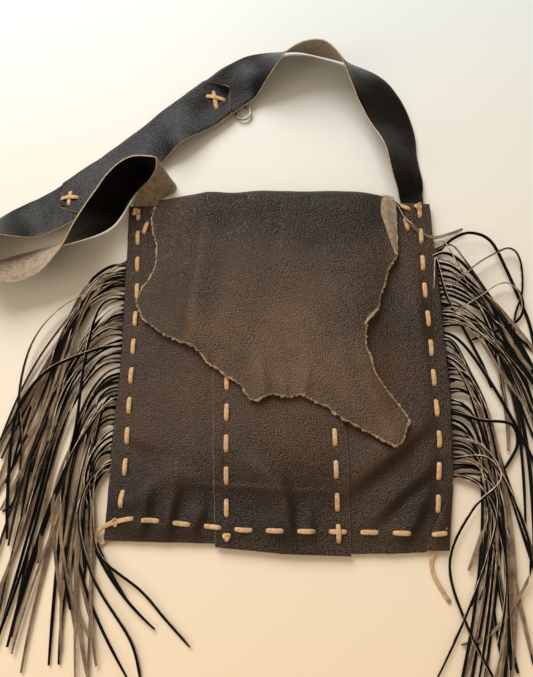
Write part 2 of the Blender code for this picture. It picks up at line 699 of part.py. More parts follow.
def lap_bars(name, frame, bars, group, cutters):
    """Two short bars of lace that cross over a lap, each through its own pair of holes."""
    made = []
    base = frame["centre"]
    across, grain = frame["across"], frame["grain"]
    cut = bmesh.new()
    for i, ends in enumerate(bars):
        spots = []
        for x, y in ends:
            flat = Vector((x, y, 0.0)) - Vector((base.x, base.y, 0.0))
            along_heading = flat.dot(frame["heading"])
            side = flat.dot(Vector((across.x, across.y, 0.0)).normalized()) / math.hypot(across.x, across.y)
            spots.append(base + frame["heading"] * along_heading + across * side)
        middle, half = (spots[0] + spots[1]) / 2, (spots[1] - spots[0]).length / 2
        bar = (spots[1] - spots[0]).normalized()
        wide = grain.cross(bar)
        low = -PLAY - LACE_THICK / 2
        high = 2 * LEATHER + 2 * PLAY + LACE_THICK / 2
        crest = high + i * (LACE_THICK + PLAY)
        tail = half - STITCH / 4
        path = [(-tail, low), (-half, low), (-half, high), (-LACE_WIDTH * 0.7, crest), (LACE_WIDTH * 0.7, crest),
                (half, high), (half, low), (tail, low)]
        bm = bmesh.new()

        def put(side, k, path=path, middle=middle, bar=bar, wide=wide):
            place, height = path[k]
            return middle + bar * place + grain * height + wide * side * LACE_WIDTH / 2

        add_sheet(bm, [-1.0, 1.0], list(range(len(path))), put)
        piece = finish_mesh(f"{name}_{i + 1}", bm, SUEDE, group)
        thicken(piece, LACE_THICK, 0.0)
        made.append(piece)
        turn = Matrix((bar, wide, grain)).transposed().to_4x4()
        size = Vector((LACE_THICK + 2 * HOLE_PLAY, LACE_WIDTH + 2 * HOLE_PLAY, 4 * STITCH / 4)) * MM
        for end in (-half, half):
            move = Matrix.Translation((middle + bar * end) * MM)
            bmesh.ops.create_cube(cut, size=1.0, matrix=move @ turn @ Matrix.Diagonal(size).to_4x4())
    cutter = finish_mesh(name + "_holes", cut, SUEDE, cutters)
    cutter.hide_render = True
    cutter.display_type = "WIRE"
    return made, cutter


# Ring and its loop

def ring_and_loop(group):
    centre = Vector((*RING_CENTRE, RING_FLOOR + RING_WIRE))
    bpy.ops.mesh.primitive_torus_add(
        location=centre * MM, major_radius=RING_RADIUS * MM, minor_radius=RING_WIRE * MM,
        major_segments=16, minor_segments=6)
    ring = bpy.context.object
    ring.name = "ring"
    ring.data.materials.append(material(STEEL))
    ring.data.shade_smooth()
    for owner in list(ring.users_collection):
        owner.objects.unlink(ring)
    group.objects.link(ring)
    side = Vector((*RING_SIDE, 0.0)).normalized()
    held = centre + side * RING_RADIUS
    across = Vector((-side.y, side.x, 0.0))
    bend = RING_WIRE + LOOP_PLAY + LOOP_THICK / 2
    turns = [math.radians(degrees) for degrees in range(90, 271, 30)]
    path = [(LOOP_TAIL, bend)] + [(bend * math.cos(a), bend * math.sin(a)) for a in turns] + [(LOOP_TAIL, -bend)]
    bm = bmesh.new()

    def put(u, i):
        place, height = path[i]
        return held + side * place + across * u * LOOP_WIDTH / 2 + Vector((0.0, 0.0, height))

    add_sheet(bm, [-1.0, 1.0], list(range(len(path))), put)
    loop = finish_mesh("ring_loop", bm, SUEDE, group)
    thicken(loop, LOOP_THICK, 0.0)
    return ring, loop


def lace_tail(group):
    """The foot lace's loose end, a flat lace that comes down to the table beside the fringe."""
    bm = bmesh.new()
    route = [Vector(p) for p in TAIL_ROUTE]

    def put(u, i):
        heading = route[min(i + 1, len(route) - 1)] - route[max(i - 1, 0)]
        across = Vector((heading.y, -heading.x, 0.0)).normalized()
        return route[i] + across * u * LACE_WIDTH / 2

    add_sheet(bm, [-1.0, 1.0], list(range(len(route))), put)
    made = finish_mesh("lace_tail", bm, SUEDE, group)
    thicken(made, LACE_THICK, 0.0)
    return made


def build():
    clear_scene()
    bag = collection("fringed_bag")
    cutters = collection("cutters")

    back = back_and_flap(bag)
    left, centre, right = front_left(bag), front_centre(bag), front_right(bag)
    left_fringe = fringe(
        "fringe_left", LEFT_EDGE, LEFT_FRINGE_TOP, LEFT_FRINGE_LOW, LEFT_FRINGE_BELLY, bag)
    right_fringe = fringe(
        "fringe_right", RIGHT_EDGE, RIGHT_FRINGE_TOP, RIGHT_FRINGE_LOW, RIGHT_FRINGE_BELLY, bag)

    _, left_holes = side_lace("side_lace_left", LEFT_LACE, bag, cutters)
    _, right_holes = side_lace("side_lace_right", RIGHT_LACE, bag, cutters)
    _, foot_holes = foot_lace(bag, cutters)
    _, left_seam_holes = seam_lace(
        "seam_lace_left", LEFT_SEAM_LACE, LEFT_SEAM_FIRST_Y, [], bag, cutters)
    _, right_seam_holes = seam_lace(
        "seam_lace_right", RIGHT_SEAM_LACE, RIGHT_SEAM_FIRST_Y, [CROSS_STITCH], bag, cutters)
    _, knot_hole = seam_knot(bag, cutters)
    lace_tail(bag)

    frames = strap_frames()
    right_lap, left_lap = nearest_run(frames, RIGHT_LAP_AT), nearest_run(frames, LEFT_LAP_AT)
    strap_right = strap_piece("strap_right", [f for f in frames if f["run"] <= right_lap + LAP_TUCK], bag)
    middle_frames = [f for f in frames if right_lap - LAP_REACH <= f["run"] <= left_lap + LAP_REACH]
    strap_middle = strap_piece("strap_middle", middle_frames, bag, PANEL_LAP, True)
    strap_left = strap_piece("strap_left", [f for f in frames if f["run"] >= left_lap - LAP_TUCK], bag)
    right_frame = min(frames, key=lambda f: abs(f["run"] - right_lap))
    left_frame = min(frames, key=lambda f: abs(f["run"] - left_lap))
    _, right_lap_holes = lap_bars("lap_lace_right", right_frame, RIGHT_LAP_BARS, bag, cutters)
    _, left_lap_holes = lap_bars("lap_lace_left", left_frame, LEFT_LAP_BARS, bag, cutters)
    ring_and_loop(bag)

    for piece in (back, left, left_fringe, strap_left):
        punch(piece, left_holes)
    for piece in (back, right, right_fringe, strap_right):
        punch(piece, right_holes)
    for piece in (back, left, centre, right):
        punch(piece, foot_holes)
    for piece in (back, left, centre):
        punch(piece, left_seam_holes)
    for piece in (back, right, centre):
        punch(piece, right_seam_holes)
    for piece in (back, left, centre):
        punch(piece, knot_hole)
    for piece in (strap_right, strap_middle):
        punch(piece, right_lap_holes)
    for piece in (strap_left, strap_middle):
        punch(piece, left_lap_holes)


build()
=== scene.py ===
# %% [markdown]
# # A fringed shoulder bag of soft leather
# The bag lies on its back on a pale table. It is hand-cut: one hide makes the back and the flap,
# three panels make the front, and a flat suede lace runs in and out of punched holes to hold it
# all together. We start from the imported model, which fixes every size and place. All sizes below
# are in millimetres, unless a comment says otherwise, and MM turns them into Blender's metres.

import math
import random

import bpy
from mathutils import Matrix, Vector, noise


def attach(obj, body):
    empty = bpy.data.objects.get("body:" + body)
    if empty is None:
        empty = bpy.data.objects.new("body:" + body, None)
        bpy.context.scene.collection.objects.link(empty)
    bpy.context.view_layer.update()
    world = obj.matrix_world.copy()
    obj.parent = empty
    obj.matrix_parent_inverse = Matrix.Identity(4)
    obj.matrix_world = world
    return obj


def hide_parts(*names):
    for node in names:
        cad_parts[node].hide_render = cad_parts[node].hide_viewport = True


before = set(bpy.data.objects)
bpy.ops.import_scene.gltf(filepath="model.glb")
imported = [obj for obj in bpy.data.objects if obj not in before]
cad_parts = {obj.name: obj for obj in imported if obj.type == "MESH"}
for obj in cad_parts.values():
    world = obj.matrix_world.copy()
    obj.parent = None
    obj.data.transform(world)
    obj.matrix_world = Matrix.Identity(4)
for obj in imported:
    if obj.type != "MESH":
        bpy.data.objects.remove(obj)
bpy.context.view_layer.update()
MM = 0.001
bpy.ops.object.select_all(action="DESELECT")

# %% [markdown]
# ## Camera, table and light
# The photo looks almost straight down, a little turned. The camera is placed from three angles and
# a distance. The light is a broad window above the strap, with a weak fill from the left and a warm
# glow from all around.

# %% Camera
AZIMUTH, ELEVATION, ROLL = (math.radians(angle) for angle in (11.84, 75.5, -11.35))
LOOK_AT = Vector((-8.5, 23.4, 0.0))
DISTANCE, LENS = 533.0, 31.9

back = Vector((math.sin(AZIMUTH) * math.cos(ELEVATION), -math.cos(AZIMUTH) * math.cos(ELEVATION),
               math.sin(ELEVATION)))
level = (-back).cross(Vector((0, 0, 1))).normalized()
upright = level.cross(-back)
right = math.cos(ROLL) * level + math.sin(ROLL) * upright
top = math.cos(ROLL) * upright - math.sin(ROLL) * level
bpy.ops.object.camera_add()
camera = bpy.context.object
camera.matrix_world = Matrix.Translation((LOOK_AT + back * DISTANCE) * MM) @ Matrix(
    (right, top, back)).transposed().to_4x4()
camera.data.lens = LENS
camera.data.clip_start = 0.01
bpy.context.scene.camera = camera
print("camera at", [round(v, 3) for v in camera.location])


# %% Colours and shader nodes
def colour(text):
    """An sRGB hex colour as the linear values that sockets take."""
    parts = [int(text[i:i + 2], 16) / 255 for i in (1, 3, 5)]
    linear = [c / 12.92 if c <= 0.04045 else ((c + 0.055) / 1.055) ** 2.4 for c in parts]
    return (*linear, 1.0)


def node(tree, kind, values=None, links=None, **settings):
    """Adds a shader node with its settings, its socket values and the links that feed it."""
    made = tree.nodes.new(kind)
    for name, value in settings.items():
        setattr(made, name, value)
    for socket, value in (values or {}).items():
        made.inputs[socket].default_value = value
    for socket, source in (links or {}).items():
        tree.links.new(source, made.inputs[socket])
    return made


# Sockets go by their names. The Mix and Math nodes give one name to several, which go by number.
SHARE, VECTOR_A, VECTOR_B, COLOUR_A, COLOUR_B = 0, 4, 5, 6, 7


def new_material(name, **shader_values):
    """A material with a Principled shader, whose sockets take the values given."""
    made = bpy.data.materials.new(name)
    made.use_nodes = True
    shader = made.node_tree.nodes["Principled BSDF"]
    for socket, value in shader_values.items():
        shader.inputs[socket.replace("_", " ")].default_value = value
    return made, made.node_tree, shader


# %% Table and lamps
# Painted light: the table's one colour gets a cool cast far off, towards the window, and a warm cast near
# the camera
table_colour_and_light, tree, shader = new_material("table_with_painted_light", Base_Color=colour("#efe6d6"), Roughness=0.6)
place = node(tree, "ShaderNodeTexCoord").outputs["Object"]
depth = node(tree, "ShaderNodeSeparateXYZ", links={0: place}).outputs["Y"]
nearness = node(tree, "ShaderNodeMapRange", {"From Min": 0.46, "From Max": -0.3},
                {"Value": depth}).outputs[0]
light_tint = node(tree, "ShaderNodeMix", {COLOUR_A: colour("#cfdfe9"), COLOUR_B: colour("#edddc3")},
            {SHARE: nearness}, data_type="RGBA")
tree.links.new(light_tint.outputs[2], shader.inputs["Base Color"])
TABLE_SIZE, TABLE_TOP = 6000.0, -0.6
bpy.ops.mesh.primitive_plane_add(size=TABLE_SIZE * MM, location=(0, 0, TABLE_TOP * MM))
table = bpy.context.object
table.name = "table"
table.data.materials.append(table_colour_and_light)

# Name, place and width in metres, watts and colour
LAMPS = [("window", (-0.8, 1.7, 1.5), 1.5, 60.0, "#fffcf8"),
         ("room", (-1.3, -0.35, 0.8), 0.8, 5.0, "#ffeed6")]
for name, spot, size, power, tone in LAMPS:
    bpy.ops.object.light_add(type="AREA", location=spot)
    lamp = bpy.context.object
    lamp.name = name
    lamp.data.size = size
    lamp.data.energy = power
    lamp.data.color = colour(tone)[:3]
    lamp.rotation_euler = Vector(spot).to_track_quat("Z", "Y").to_euler()
world = bpy.data.worlds.new("studio")
bpy.context.scene.world = world
world.use_nodes = True
world.node_tree.nodes["Background"].inputs["Color"].default_value = colour("#ffe3c2")
world.node_tree.nodes["Background"].inputs["Strength"].default_value = 0.52
bpy.context.scene.view_settings.view_transform = "Standard"
print("lamps:", [name for name, *_ in LAMPS])


# %% [markdown]
# ## Finishes
# Real leather has two faces and a cut edge. The grain face is dark, pebbled and slightly waxy, so it
# catches broken highlights. The flesh face is a dull, mottled suede, and the cut edge shows the pale,
# undyed middle of the hide. Each sheet below wears all three.

# %% Pebbled leather, soft wax finish
# How wide the leather's patterns are: patches of wear, sway of the pebbles, specks and fine creases
PATCH, SWAY, SPECK, CREASE = 60, 9, 2.6, 5


def grain_leather(name, deep, warm, rubbed, pebble, relief, roughness, shine=0.34):
    """Drum-dyed, pebbled cowhide: darker in the valleys between the pebbles, rubbed warm tops, broken gloss.
    """
    made, tree, shader = new_material(name, Roughness=roughness, Specular_IOR_Level=shine)
    place = node(tree, "ShaderNodeTexCoord").outputs["Object"]
    patch = node(tree, "ShaderNodeTexNoise", {"Scale": 1000 / PATCH, "Detail": 4.0},
                 {"Vector": place}).outputs["Fac"]
    patches = node(tree, "ShaderNodeMapRange", {"From Min": 0.4, "From Max": 0.62},
                   {"Value": patch}).outputs[0]
    sway = node(tree, "ShaderNodeTexNoise", {"Scale": 1000 / SWAY, "Detail": 1.0},
                {"Vector": place}).outputs["Color"]
    bent = node(tree, "ShaderNodeMix", {SHARE: 0.0016}, {VECTOR_A: place, VECTOR_B: sway},
                data_type="VECTOR").outputs[1]
    cells = node(tree, "ShaderNodeTexVoronoi", {"Scale": 1000 / pebble, "Randomness": 1.0}, {"Vector": bent},
                 feature="F1").outputs["Distance"]
    dome = node(tree, "ShaderNodeMapRange",
                {"From Min": 0.05, "From Max": 0.75, "To Min": 1.0, "To Max": 0.0},
                {"Value": cells}).outputs[0]
    speck = node(tree, "ShaderNodeTexNoise", {"Scale": 1000 / SPECK, "Detail": 3.0, "Roughness": 0.7},
                 {"Vector": place}).outputs["Fac"]
    specks = node(tree, "ShaderNodeMapRange", {"From Min": 0.45, "From Max": 0.75, "To Max": 0.4},
                  {"Value": speck}).outputs[0]
    top = node(tree, "ShaderNodeMix", {COLOUR_A: colour(warm), COLOUR_B: colour(rubbed)}, {SHARE: specks},
               data_type="RGBA")
    share = node(tree, "ShaderNodeMapRange", {"To Min": 0.68, "To Max": 1.0}, {"Value": patches}).outputs[0]
    height = node(tree, "ShaderNodeMapRange", {"To Min": 0.36, "To Max": 0.88}, {"Value": dome}).outputs[0]
    bared = node(tree, "ShaderNodeMath", links={0: height, 1: share}, operation="MULTIPLY").outputs[0]
    pebble_tone = node(tree, "ShaderNodeMix", {COLOUR_A: colour(deep)}, {SHARE: bared, COLOUR_B: top.outputs[2]},
                data_type="RGBA")
    # "rub_and_shade" is a little under 0.5 on flat leather. It is more on the crest of a fold, which turns
    # browner, and less in a crease or a dark patch, which gets painted shade
    rub_and_shade = node(tree, "ShaderNodeAttribute", attribute_name="rub_and_shade").outputs["Fac"]
    crest = node(tree, "ShaderNodeMapRange",
                 {"From Min": 0.5, "From Max": 1.0, "To Min": 0.0, "To Max": 0.6},
                 {"Value": rub_and_shade}).outputs[0]
    painted_shade = node(tree, "ShaderNodeMapRange",
                  {"From Min": 0.5, "From Max": 0.0, "To Min": 0.0, "To Max": 0.9},
                  {"Value": rub_and_shade}).outputs[0]
    wear_and_painted_light = node(tree, "ShaderNodeMix", {COLOUR_B: colour(rubbed)}, {SHARE: crest, COLOUR_A: pebble_tone.outputs[2]},
                data_type="RGBA")
    # Painted shade: creases and dark patches are mixed towards the deepest colour
    shaded = node(tree, "ShaderNodeMix", {COLOUR_B: colour(deep)},
                  {SHARE: painted_shade, COLOUR_A: wear_and_painted_light.outputs[2]}, data_type="RGBA")
    tree.links.new(shaded.outputs[2], shader.inputs["Base Color"])
    gloss = node(tree, "ShaderNodeMapRange", {"To Min": roughness - 0.08, "To Max": roughness + 0.12},
                 {"Value": patch}).outputs[0]
    tree.links.new(gloss, shader.inputs["Roughness"])
    lines = node(tree, "ShaderNodeTexNoise", {"Scale": 1000 / CREASE, "Detail": 4.0},
                 {"Vector": place}).outputs["Fac"]
    soft = node(tree, "ShaderNodeBump", {"Strength": 0.3, "Distance": 0.4 * MM}, {"Height": lines})
    raised = node(tree, "ShaderNodeBump", {"Strength": 1.0, "Distance": relief * MM},
                  {"Height": dome, "Normal": soft.outputs[0]})
    tree.links.new(raised.outputs[0], shader.inputs["Normal"])
    return made


# The pebbles of the real hide are about 1 mm. They are drawn a little larger, so that they show.
# The thongs are cut from smoother leather, with a broad and very faint grain.
HIDE = grain_leather("pebbled_cowhide", "#18110c", "#524030", "#88694b", 1.35, 0.56, 0.38)
PANEL = grain_leather("pebbled_cowhide_panel", "#120c08", "#463222", "#714f35", 1.3, 0.5, 0.38)
STRAP = grain_leather("smooth_strap_leather", "#020203", "#07080a", "#121317", 1.3, 0.16, 0.27, 0.14)
THONG = grain_leather("thong_grain_face", "#030202", "#080706", "#14110e", 2.4, 0.06, 0.46, 0.1)


# %% Suede, cut edges and lace
def nap(name, dark, pale, mottle, fibre, sheen):
    """Flesh side or lace: torn fibres scatter the light, so it is matt and mottled."""
    made, tree, shader = new_material(name, Roughness=0.93, Sheen_Weight=sheen, Sheen_Roughness=0.5)
    place = node(tree, "ShaderNodeTexCoord").outputs["Object"]
    clouds = node(tree, "ShaderNodeTexNoise", {"Scale": 1000 / mottle, "Detail": 5.0, "Roughness": 0.65},
                  {"Vector": place}).outputs["Fac"]
    share = node(tree, "ShaderNodeMapRange", {"From Min": 0.33, "From Max": 0.67},
                 {"Value": clouds}).outputs[0]
    tone = node(tree, "ShaderNodeMix", {COLOUR_A: colour(dark), COLOUR_B: colour(pale)}, {SHARE: share},
                data_type="RGBA")
    tree.links.new(tone.outputs[2], shader.inputs["Base Color"])
    fibres = node(tree, "ShaderNodeTexNoise", {"Scale": 1000 / fibre, "Detail": 3.0},
                  {"Vector": place}).outputs["Fac"]
    raised = node(tree, "ShaderNodeBump", {"Strength": 0.7, "Distance": 0.3 * MM}, {"Height": fibres})
    tree.links.new(raised.outputs[0], shader.inputs["Normal"])
    return made


# The flesh side of the hide and of the thongs, clouded taupe with a short nap
SUEDE = nap("suede_flesh_side", "#6d6153", "#a08f7a", 5.0, 1.0, 0.25)
THONG_SUEDE = nap("thong_flesh_side", "#4a3d30", "#8c7761", 16.0, 1.0, 0.0)
# Cut edges, where the pale, undyed middle of the hide shows: thongs, torn flap and strap, its torn
# fibres, and the panels, whose edges took some of the dye
THONG_EDGE = nap("thong_cut_edge", "#5c5145", "#cbbda9", 6.0, 0.8, 0.0)
RAW_EDGE = nap("raw_cut_edge", "#8d7a64", "#cdbb9d", 2.2, 0.8, 0.1)
FRAY = nap("frayed_hide_fibres", "#5d4b38", "#bfa888", 2.4, 0.7, 0.1)
DARK_EDGE = nap("dyed_cut_edge", "#42362b", "#8f7c65", 3.0, 0.8, 0.0)
# Tan suede lace, mottled darker and paler
LACE = nap("suede_lace", "#a4865f", "#d3b38b", 3.0, 0.7, 0.1)

# Nickel-plated steel wire, drawn and rubbed by hand: dull spots 1.5 mm wide break its shine
WIRE, tree, shader = new_material("nickel_plated_steel", Metallic=1.0, Roughness=0.3,
                                  Base_Color=colour("#82786b"))
place = node(tree, "ShaderNodeTexCoord").outputs["Object"]
spots = node(tree, "ShaderNodeTexNoise", {"Scale": 1000 / 1.5, "Detail": 2.0},
             {"Vector": place}).outputs["Fac"]
dull = node(tree, "ShaderNodeMapRange", {"To Min": 0.22, "To Max": 0.45}, {"Value": spots}).outputs[0]
tree.links.new(dull, shader.inputs["Roughness"])
print("finishes:", len(bpy.data.materials))

# %% [markdown]
# ## Where each layer lies
# The bag is a stack: back, fringe header, front, centre panel, lace and flap. One set of functions
# gives the height of each layer at any place, so that layers follow each other without touching.
# The same soft wrinkles lift all the layers of the front together.

# %% Small tools for places and heights
def along(points, at):
    """The value at a place along a list of (place, value), straight between its points."""
    if at <= points[0][0]:
        return points[0][1]
    for (a, low), (b, high) in zip(points, points[1:]):
        if at <= b:
            return low + (high - low) * (at - a) / (b - a)
    return points[-1][1]


def mix(a, b, share):
    return a + (b - a) * share


def ease(low, high, at):
    """0 before low, 1 after high and a soft S between them."""
    t = min(max((at - low) / (high - low), 0.0), 1.0)
    return t * t * (3 - 2 * t)


def waves(x, y, size, seed=0.0):
    """Smooth noise from about -1 to 1, with features of the size given in millimetres."""
    return noise.noise(Vector((x / size, y / size, seed * 7.3)))


def ridge(x, y, start, end, width):
    """A soft fold along a line that wanders: steep on its right, slow on its left, fading at its ends."""
    sx, sy = end[0] - start[0], end[1] - start[1]
    length = math.hypot(sx, sy)
    t = ((x - start[0]) * sx + (y - start[1]) * sy) / length ** 2
    off = ((x - start[0]) * sy - (y - start[1]) * sx) / length + 3.0 * waves(t * 40, start[0], 22, 16)
    off /= width if off > 0 else 2.3 * width
    return math.exp(-off * off) * ease(-0.3, 0.45, t) * (1 - ease(0.55, 1.3, t))


# %% Folds, wear and painted shade of the front
LEATHER = 1.2
FOOT_Y, MOUTH_Y = -150.0, 150.0
# Each fold: start, end, width and height
FOLDS = [
    ((-84, -92), (-140, -128), 6, 4.8), ((-60, -100), (-96, -90), 6, 3.2),
    ((-112, -152), (-103, -108), 5, 5.0), ((-90, -154), (-82, -102), 5, 5.6),
    ((-68, -152), (-60, -114), 5, 3.4), ((6, -104), (-22, -80), 7, 4.2),
    ((16, -154), (4, -92), 6, 5.4), ((32, -158), (28, -124), 5, 3.0), ((60, -104), (126, -50), 7, 6.6),
    ((80, -128), (136, -80), 6, 5.6), ((98, -154), (124, -106), 5, 4.6),
    ((-96, -60), (-120, 20), 14, 2.0), ((118, 92), (128, 14), 7, 2.2),
    ((48, -107), (-78, -102), 1.6, 0.9), ((72, -40), (102, -100), 10, 2.6),
    ((124, 60), (112, 30), 6, 1.6), ((-124, -62), (-96, -74), 7, 2.0), ((20, -66), (-26, -54), 9, 1.6),
]


def wrinkle(x, y):
    """How far the front's leather is pushed up, never down."""
    calm = ease(0, 16, 140 - abs(x)) * ease(0, 14, y - FOOT_Y)
    roll = 0.9 + 0.9 * waves(x, y, 62) + 0.5 * waves(x, y, 27, 2)
    folds = sum(height * ridge(x, y, a, b, width) for a, b, width, height in FOLDS)
    return max(0.0, roll) * calm + folds * mix(0.35, 1.0, calm)


# Each patch: x, y, size and how much browner it is from wear, or, below 0, how much painted shade darkens
# it. The broad brown patch in the middle also paints the highlight of the lower flap
# Painted shade: the patches below 0 lie under the mouth fold and towards the lower corners
WEAR_AND_SHADE_PATCHES = [
    (16, -2, 54, 0.24), (-56, 24, 34, 0.12), (94, -56, 18, 0.16), (20, 66, 44, 0.06),
    (-84, -40, 40, 0.16), (4, -70, 40, 0.1), (96, -14, 30, 0.14), (62, -108, 24, 0.1),
    (6, 128, 26, -0.44), (46, 122, 26, -0.58), (80, 130, 20, -0.44), (-44, 134, 24, -0.36),
    (-84, 120, 22, -0.16), (-124, -120, 30, -0.5), (-66, -128, 26, -0.44), (14, -136, 34, -0.4),
    (118, -112, 30, -0.36), (128, 40, 26, -0.2), (-96, 66, 26, -0.14), (60, 40, 22, -0.1),
    (-30, -120, 18, -0.3), (-56, 153, 26, -0.3), (-10, 154, 26, -0.36), (34, 154, 26, -0.36),
    (76, 153, 26, -0.3), (2, -28, 12, -0.12),
]


def wear_and_painted_light(x, y):
    """How much hands and light have browned the hide, to about 0.5, or, below 0, how much painted shade
    darkens it.
    """
    patch = sum(much * math.exp(-((x - px) ** 2 + (y - py) ** 2) / size ** 2) for px, py, size, much in WEAR_AND_SHADE_PATCHES)
    return patch * (1 + 0.5 * waves(x, y, 26, 14) + 0.3 * waves(x, y, 9, 15))


# %% The layers of the bag
# Bands along the side seams and the foot, where the layers are laced together and lie level
SIDE_BAND, FOOT_BAND = (95, 118), (-128, -113)
BACK_SIDE_BAND, BACK_FOOT_BAND = (95, 109), (-121, -106)
BACK_LIFT, FRONT_LIFT, HEADER_LIFT, LAP_STEP, BULGE = 1.3, 2.8, 1.5, 1.5, 7.0


def front_under(x, y):
    """The lower face of the front: raised by the fringe header at the sides, bulging between the seams."""
    side = ease(*SIDE_BAND, abs(x)) * ease(*FOOT_BAND, y)
    crown = ease(0, 52, SIDE_BAND[1] - abs(x)) * ease(0, 60, y - FOOT_BAND[0])
    return FRONT_LIFT + HEADER_LIFT * side + BULGE * crown + wrinkle(x, y)


def front_top(x, y):
    return front_under(x, y) + LEATHER


def centre_top(x, y):
    return front_top(x, y) + LAP_STEP


def back_under(x, y):
    """The back lies on the table, apart from its seams, where the lace runs under it."""
    return BACK_LIFT * max(1 - ease(*BACK_FOOT_BAND, y), ease(*BACK_SIDE_BAND, abs(x)))


print("front stands", round(front_top(0, 0), 1), "mm high in the middle")


# %% [markdown]
# ## Sheets of leather
# A sheet is a fine grid whose points are laid in place one by one, like cloth on a form. Solidify
# then gives it its thickness and puts suede on the inner face and a raw edge on the rim.

# %% Sheet helpers
PLAIN_RUB_AND_SHADE, RUB_AND_SHADE_PER_MM = 0.46, 0.1


def flat_layer(x, y):
    """The height of a layer that has no folds to rub."""
    return 0.0


def grid(name, us, vs, lay, top=None):
    """A grid of faces whose points lie where lay(u, v) says, in millimetres.

    With top, the height of its layer, each point also gets its "rub_and_shade": how browned the place is,
    how much painted shade darkens it, and how far it stands above the leather around it.
    """
    bpy.ops.object.select_all(action="DESELECT")
    bpy.ops.mesh.primitive_grid_add(x_subdivisions=len(us) - 1, y_subdivisions=len(vs) - 1, size=1.0)
    piece = bpy.context.object
    piece.name = name
    piece.data.name = name
    for i, vert in enumerate(piece.data.vertices):
        vert.co = Vector(lay(us[i % len(us)], vs[i // len(us)])) * MM
    if top:
        rub_and_shade = piece.data.attributes.new("rub_and_shade", "FLOAT", "POINT")
        for i, vert in enumerate(piece.data.vertices):
            x, y, _ = vert.co / MM
            around = [(6, 0), (-6, 0), (0, 6), (0, -6)]
            stands = top(x, y) - sum(top(x + dx, y + dy) for dx, dy in around) / len(around)
            # Painted shade: a point lower than the leather around it, or in a dark patch, gets less than 0.5
            # and is darkened
            rub_and_shade.data[i].value = min(max(PLAIN_RUB_AND_SHADE + stands * RUB_AND_SHADE_PER_MM + wear_and_painted_light(x, y), 0.0), 1.0)
    return piece


def spread(low, high, step):
    """Evenly spaced values from low to high, about step apart."""
    count = max(1, round(abs(high - low) / step))
    return [mix(low, high, i / count) for i in range(count + 1)]


def apply_all(piece):
    bpy.ops.object.select_all(action="DESELECT")
    piece.select_set(True)
    bpy.context.view_layer.objects.active = piece
    for modifier in list(piece.modifiers):
        bpy.ops.object.modifier_apply(modifier=modifier.name)


def join(pieces, name):
    """Joins pieces into one and merges the points that they share."""
    bpy.ops.object.select_all(action="DESELECT")
    for piece in pieces:
        piece.select_set(True)
    bpy.context.view_layer.objects.active = pieces[0]
    bpy.ops.object.join()
    joined = bpy.context.object
    joined.name = name
    joined.data.name = name
    bpy.ops.object.mode_set(mode="EDIT")
    bpy.ops.mesh.select_all(action="SELECT")
    bpy.ops.mesh.remove_doubles(threshold=0.01 * MM)
    bpy.ops.object.mode_set(mode="OBJECT")
    return joined


def thicken(piece, finishes, thickness=LEATHER, bevel=0.3):
    """Gives a sheet its thickness below the grain face, its three finishes and a soft edge."""
    for finish in finishes:
        piece.data.materials.append(finish)
    solid = piece.modifiers.new("thickness", "SOLIDIFY")
    solid.thickness = thickness * MM
    solid.offset = -1.0
    solid.material_offset = 1
    solid.material_offset_rim = 2
    if bevel:
        edge = piece.modifiers.new("soft edge", "BEVEL")
        edge.width = bevel * MM
        edge.segments = 2
        edge.limit_method = "ANGLE"
        edge.angle_limit = math.radians(55)
        edge.material = 2
    apply_all(piece)
    bpy.ops.object.shade_smooth_by_angle(angle=math.radians(50))


def finish_piece(piece, replaced=(), body="bag"):
    """Hangs the piece from the empty of the body that it rides on and hides the imported parts that it
    stands for.
    """
    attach(piece, body)
    if replaced:
        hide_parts(*replaced)
    print(piece.name, len(piece.data.polygons), "faces")


# %% [markdown]
# ## The hide: back, fold and flap
# One hide lies under the bag, turns over the mouth and comes down as the flap. Its lower edge was
# left as the skin tore, so the outline is uneven and frayed. At its upper right the edge is turned
# over and shows the suede.

# %% Outline of the hide
LEFT_EDGE = [(FOOT_Y, -140), (-60, -138), (0, -136), (60, -137), (MOUTH_Y, -140)]
RIGHT_EDGE = [(FOOT_Y, 140), (-100, 146), (-30, 148), (60, 144), (MOUTH_Y, 140)]
FOLD_LEFT, FOLD_RIGHT = -110.0, 97.0
# The flap's sides as (y, x) and its torn foot as (x, y)
FLAP_LEFT = [
    (56, -125), (66, -121), (76, -114), (85, -110), (93, -109), (107, -109), (119, -113), (135, -116),
    (146, -113), (MOUTH_Y, FOLD_LEFT),
]
FLAP_RIGHT = [
    (-49, 111), (-39, 105), (-31, 99), (-21, 91), (-10, 84), (1, 81), (13, 77), (21, 77), (29, 78),
    (39, 80), (45, 86), (49, 90), (58, 91), (68, 95), (83, 99), (88, 102), (96, 107), (105, 104),
    (115, 101), (126, 98), (135, 95), (143, 95), (MOUTH_Y, FOLD_RIGHT),
]
FLAP_FOOT = [
    (-125, 56), (-123, 49), (-118, 39), (-112, 34), (-103, 27), (-95, 22), (-81, 16), (-71, 12),
    (-63, 5), (-57, -3), (-51, -6), (-43, -12), (-32, -19), (-26, -25), (-21, -34), (-14, -34),
    (-4, -29), (9, -31), (15, -31), (23, -29), (30, -33), (38, -37), (43, -38), (52, -46), (60, -51),
    (71, -57), (80, -62), (89, -67), (99, -72), (104, -68), (108, -59), (111, -49),
]
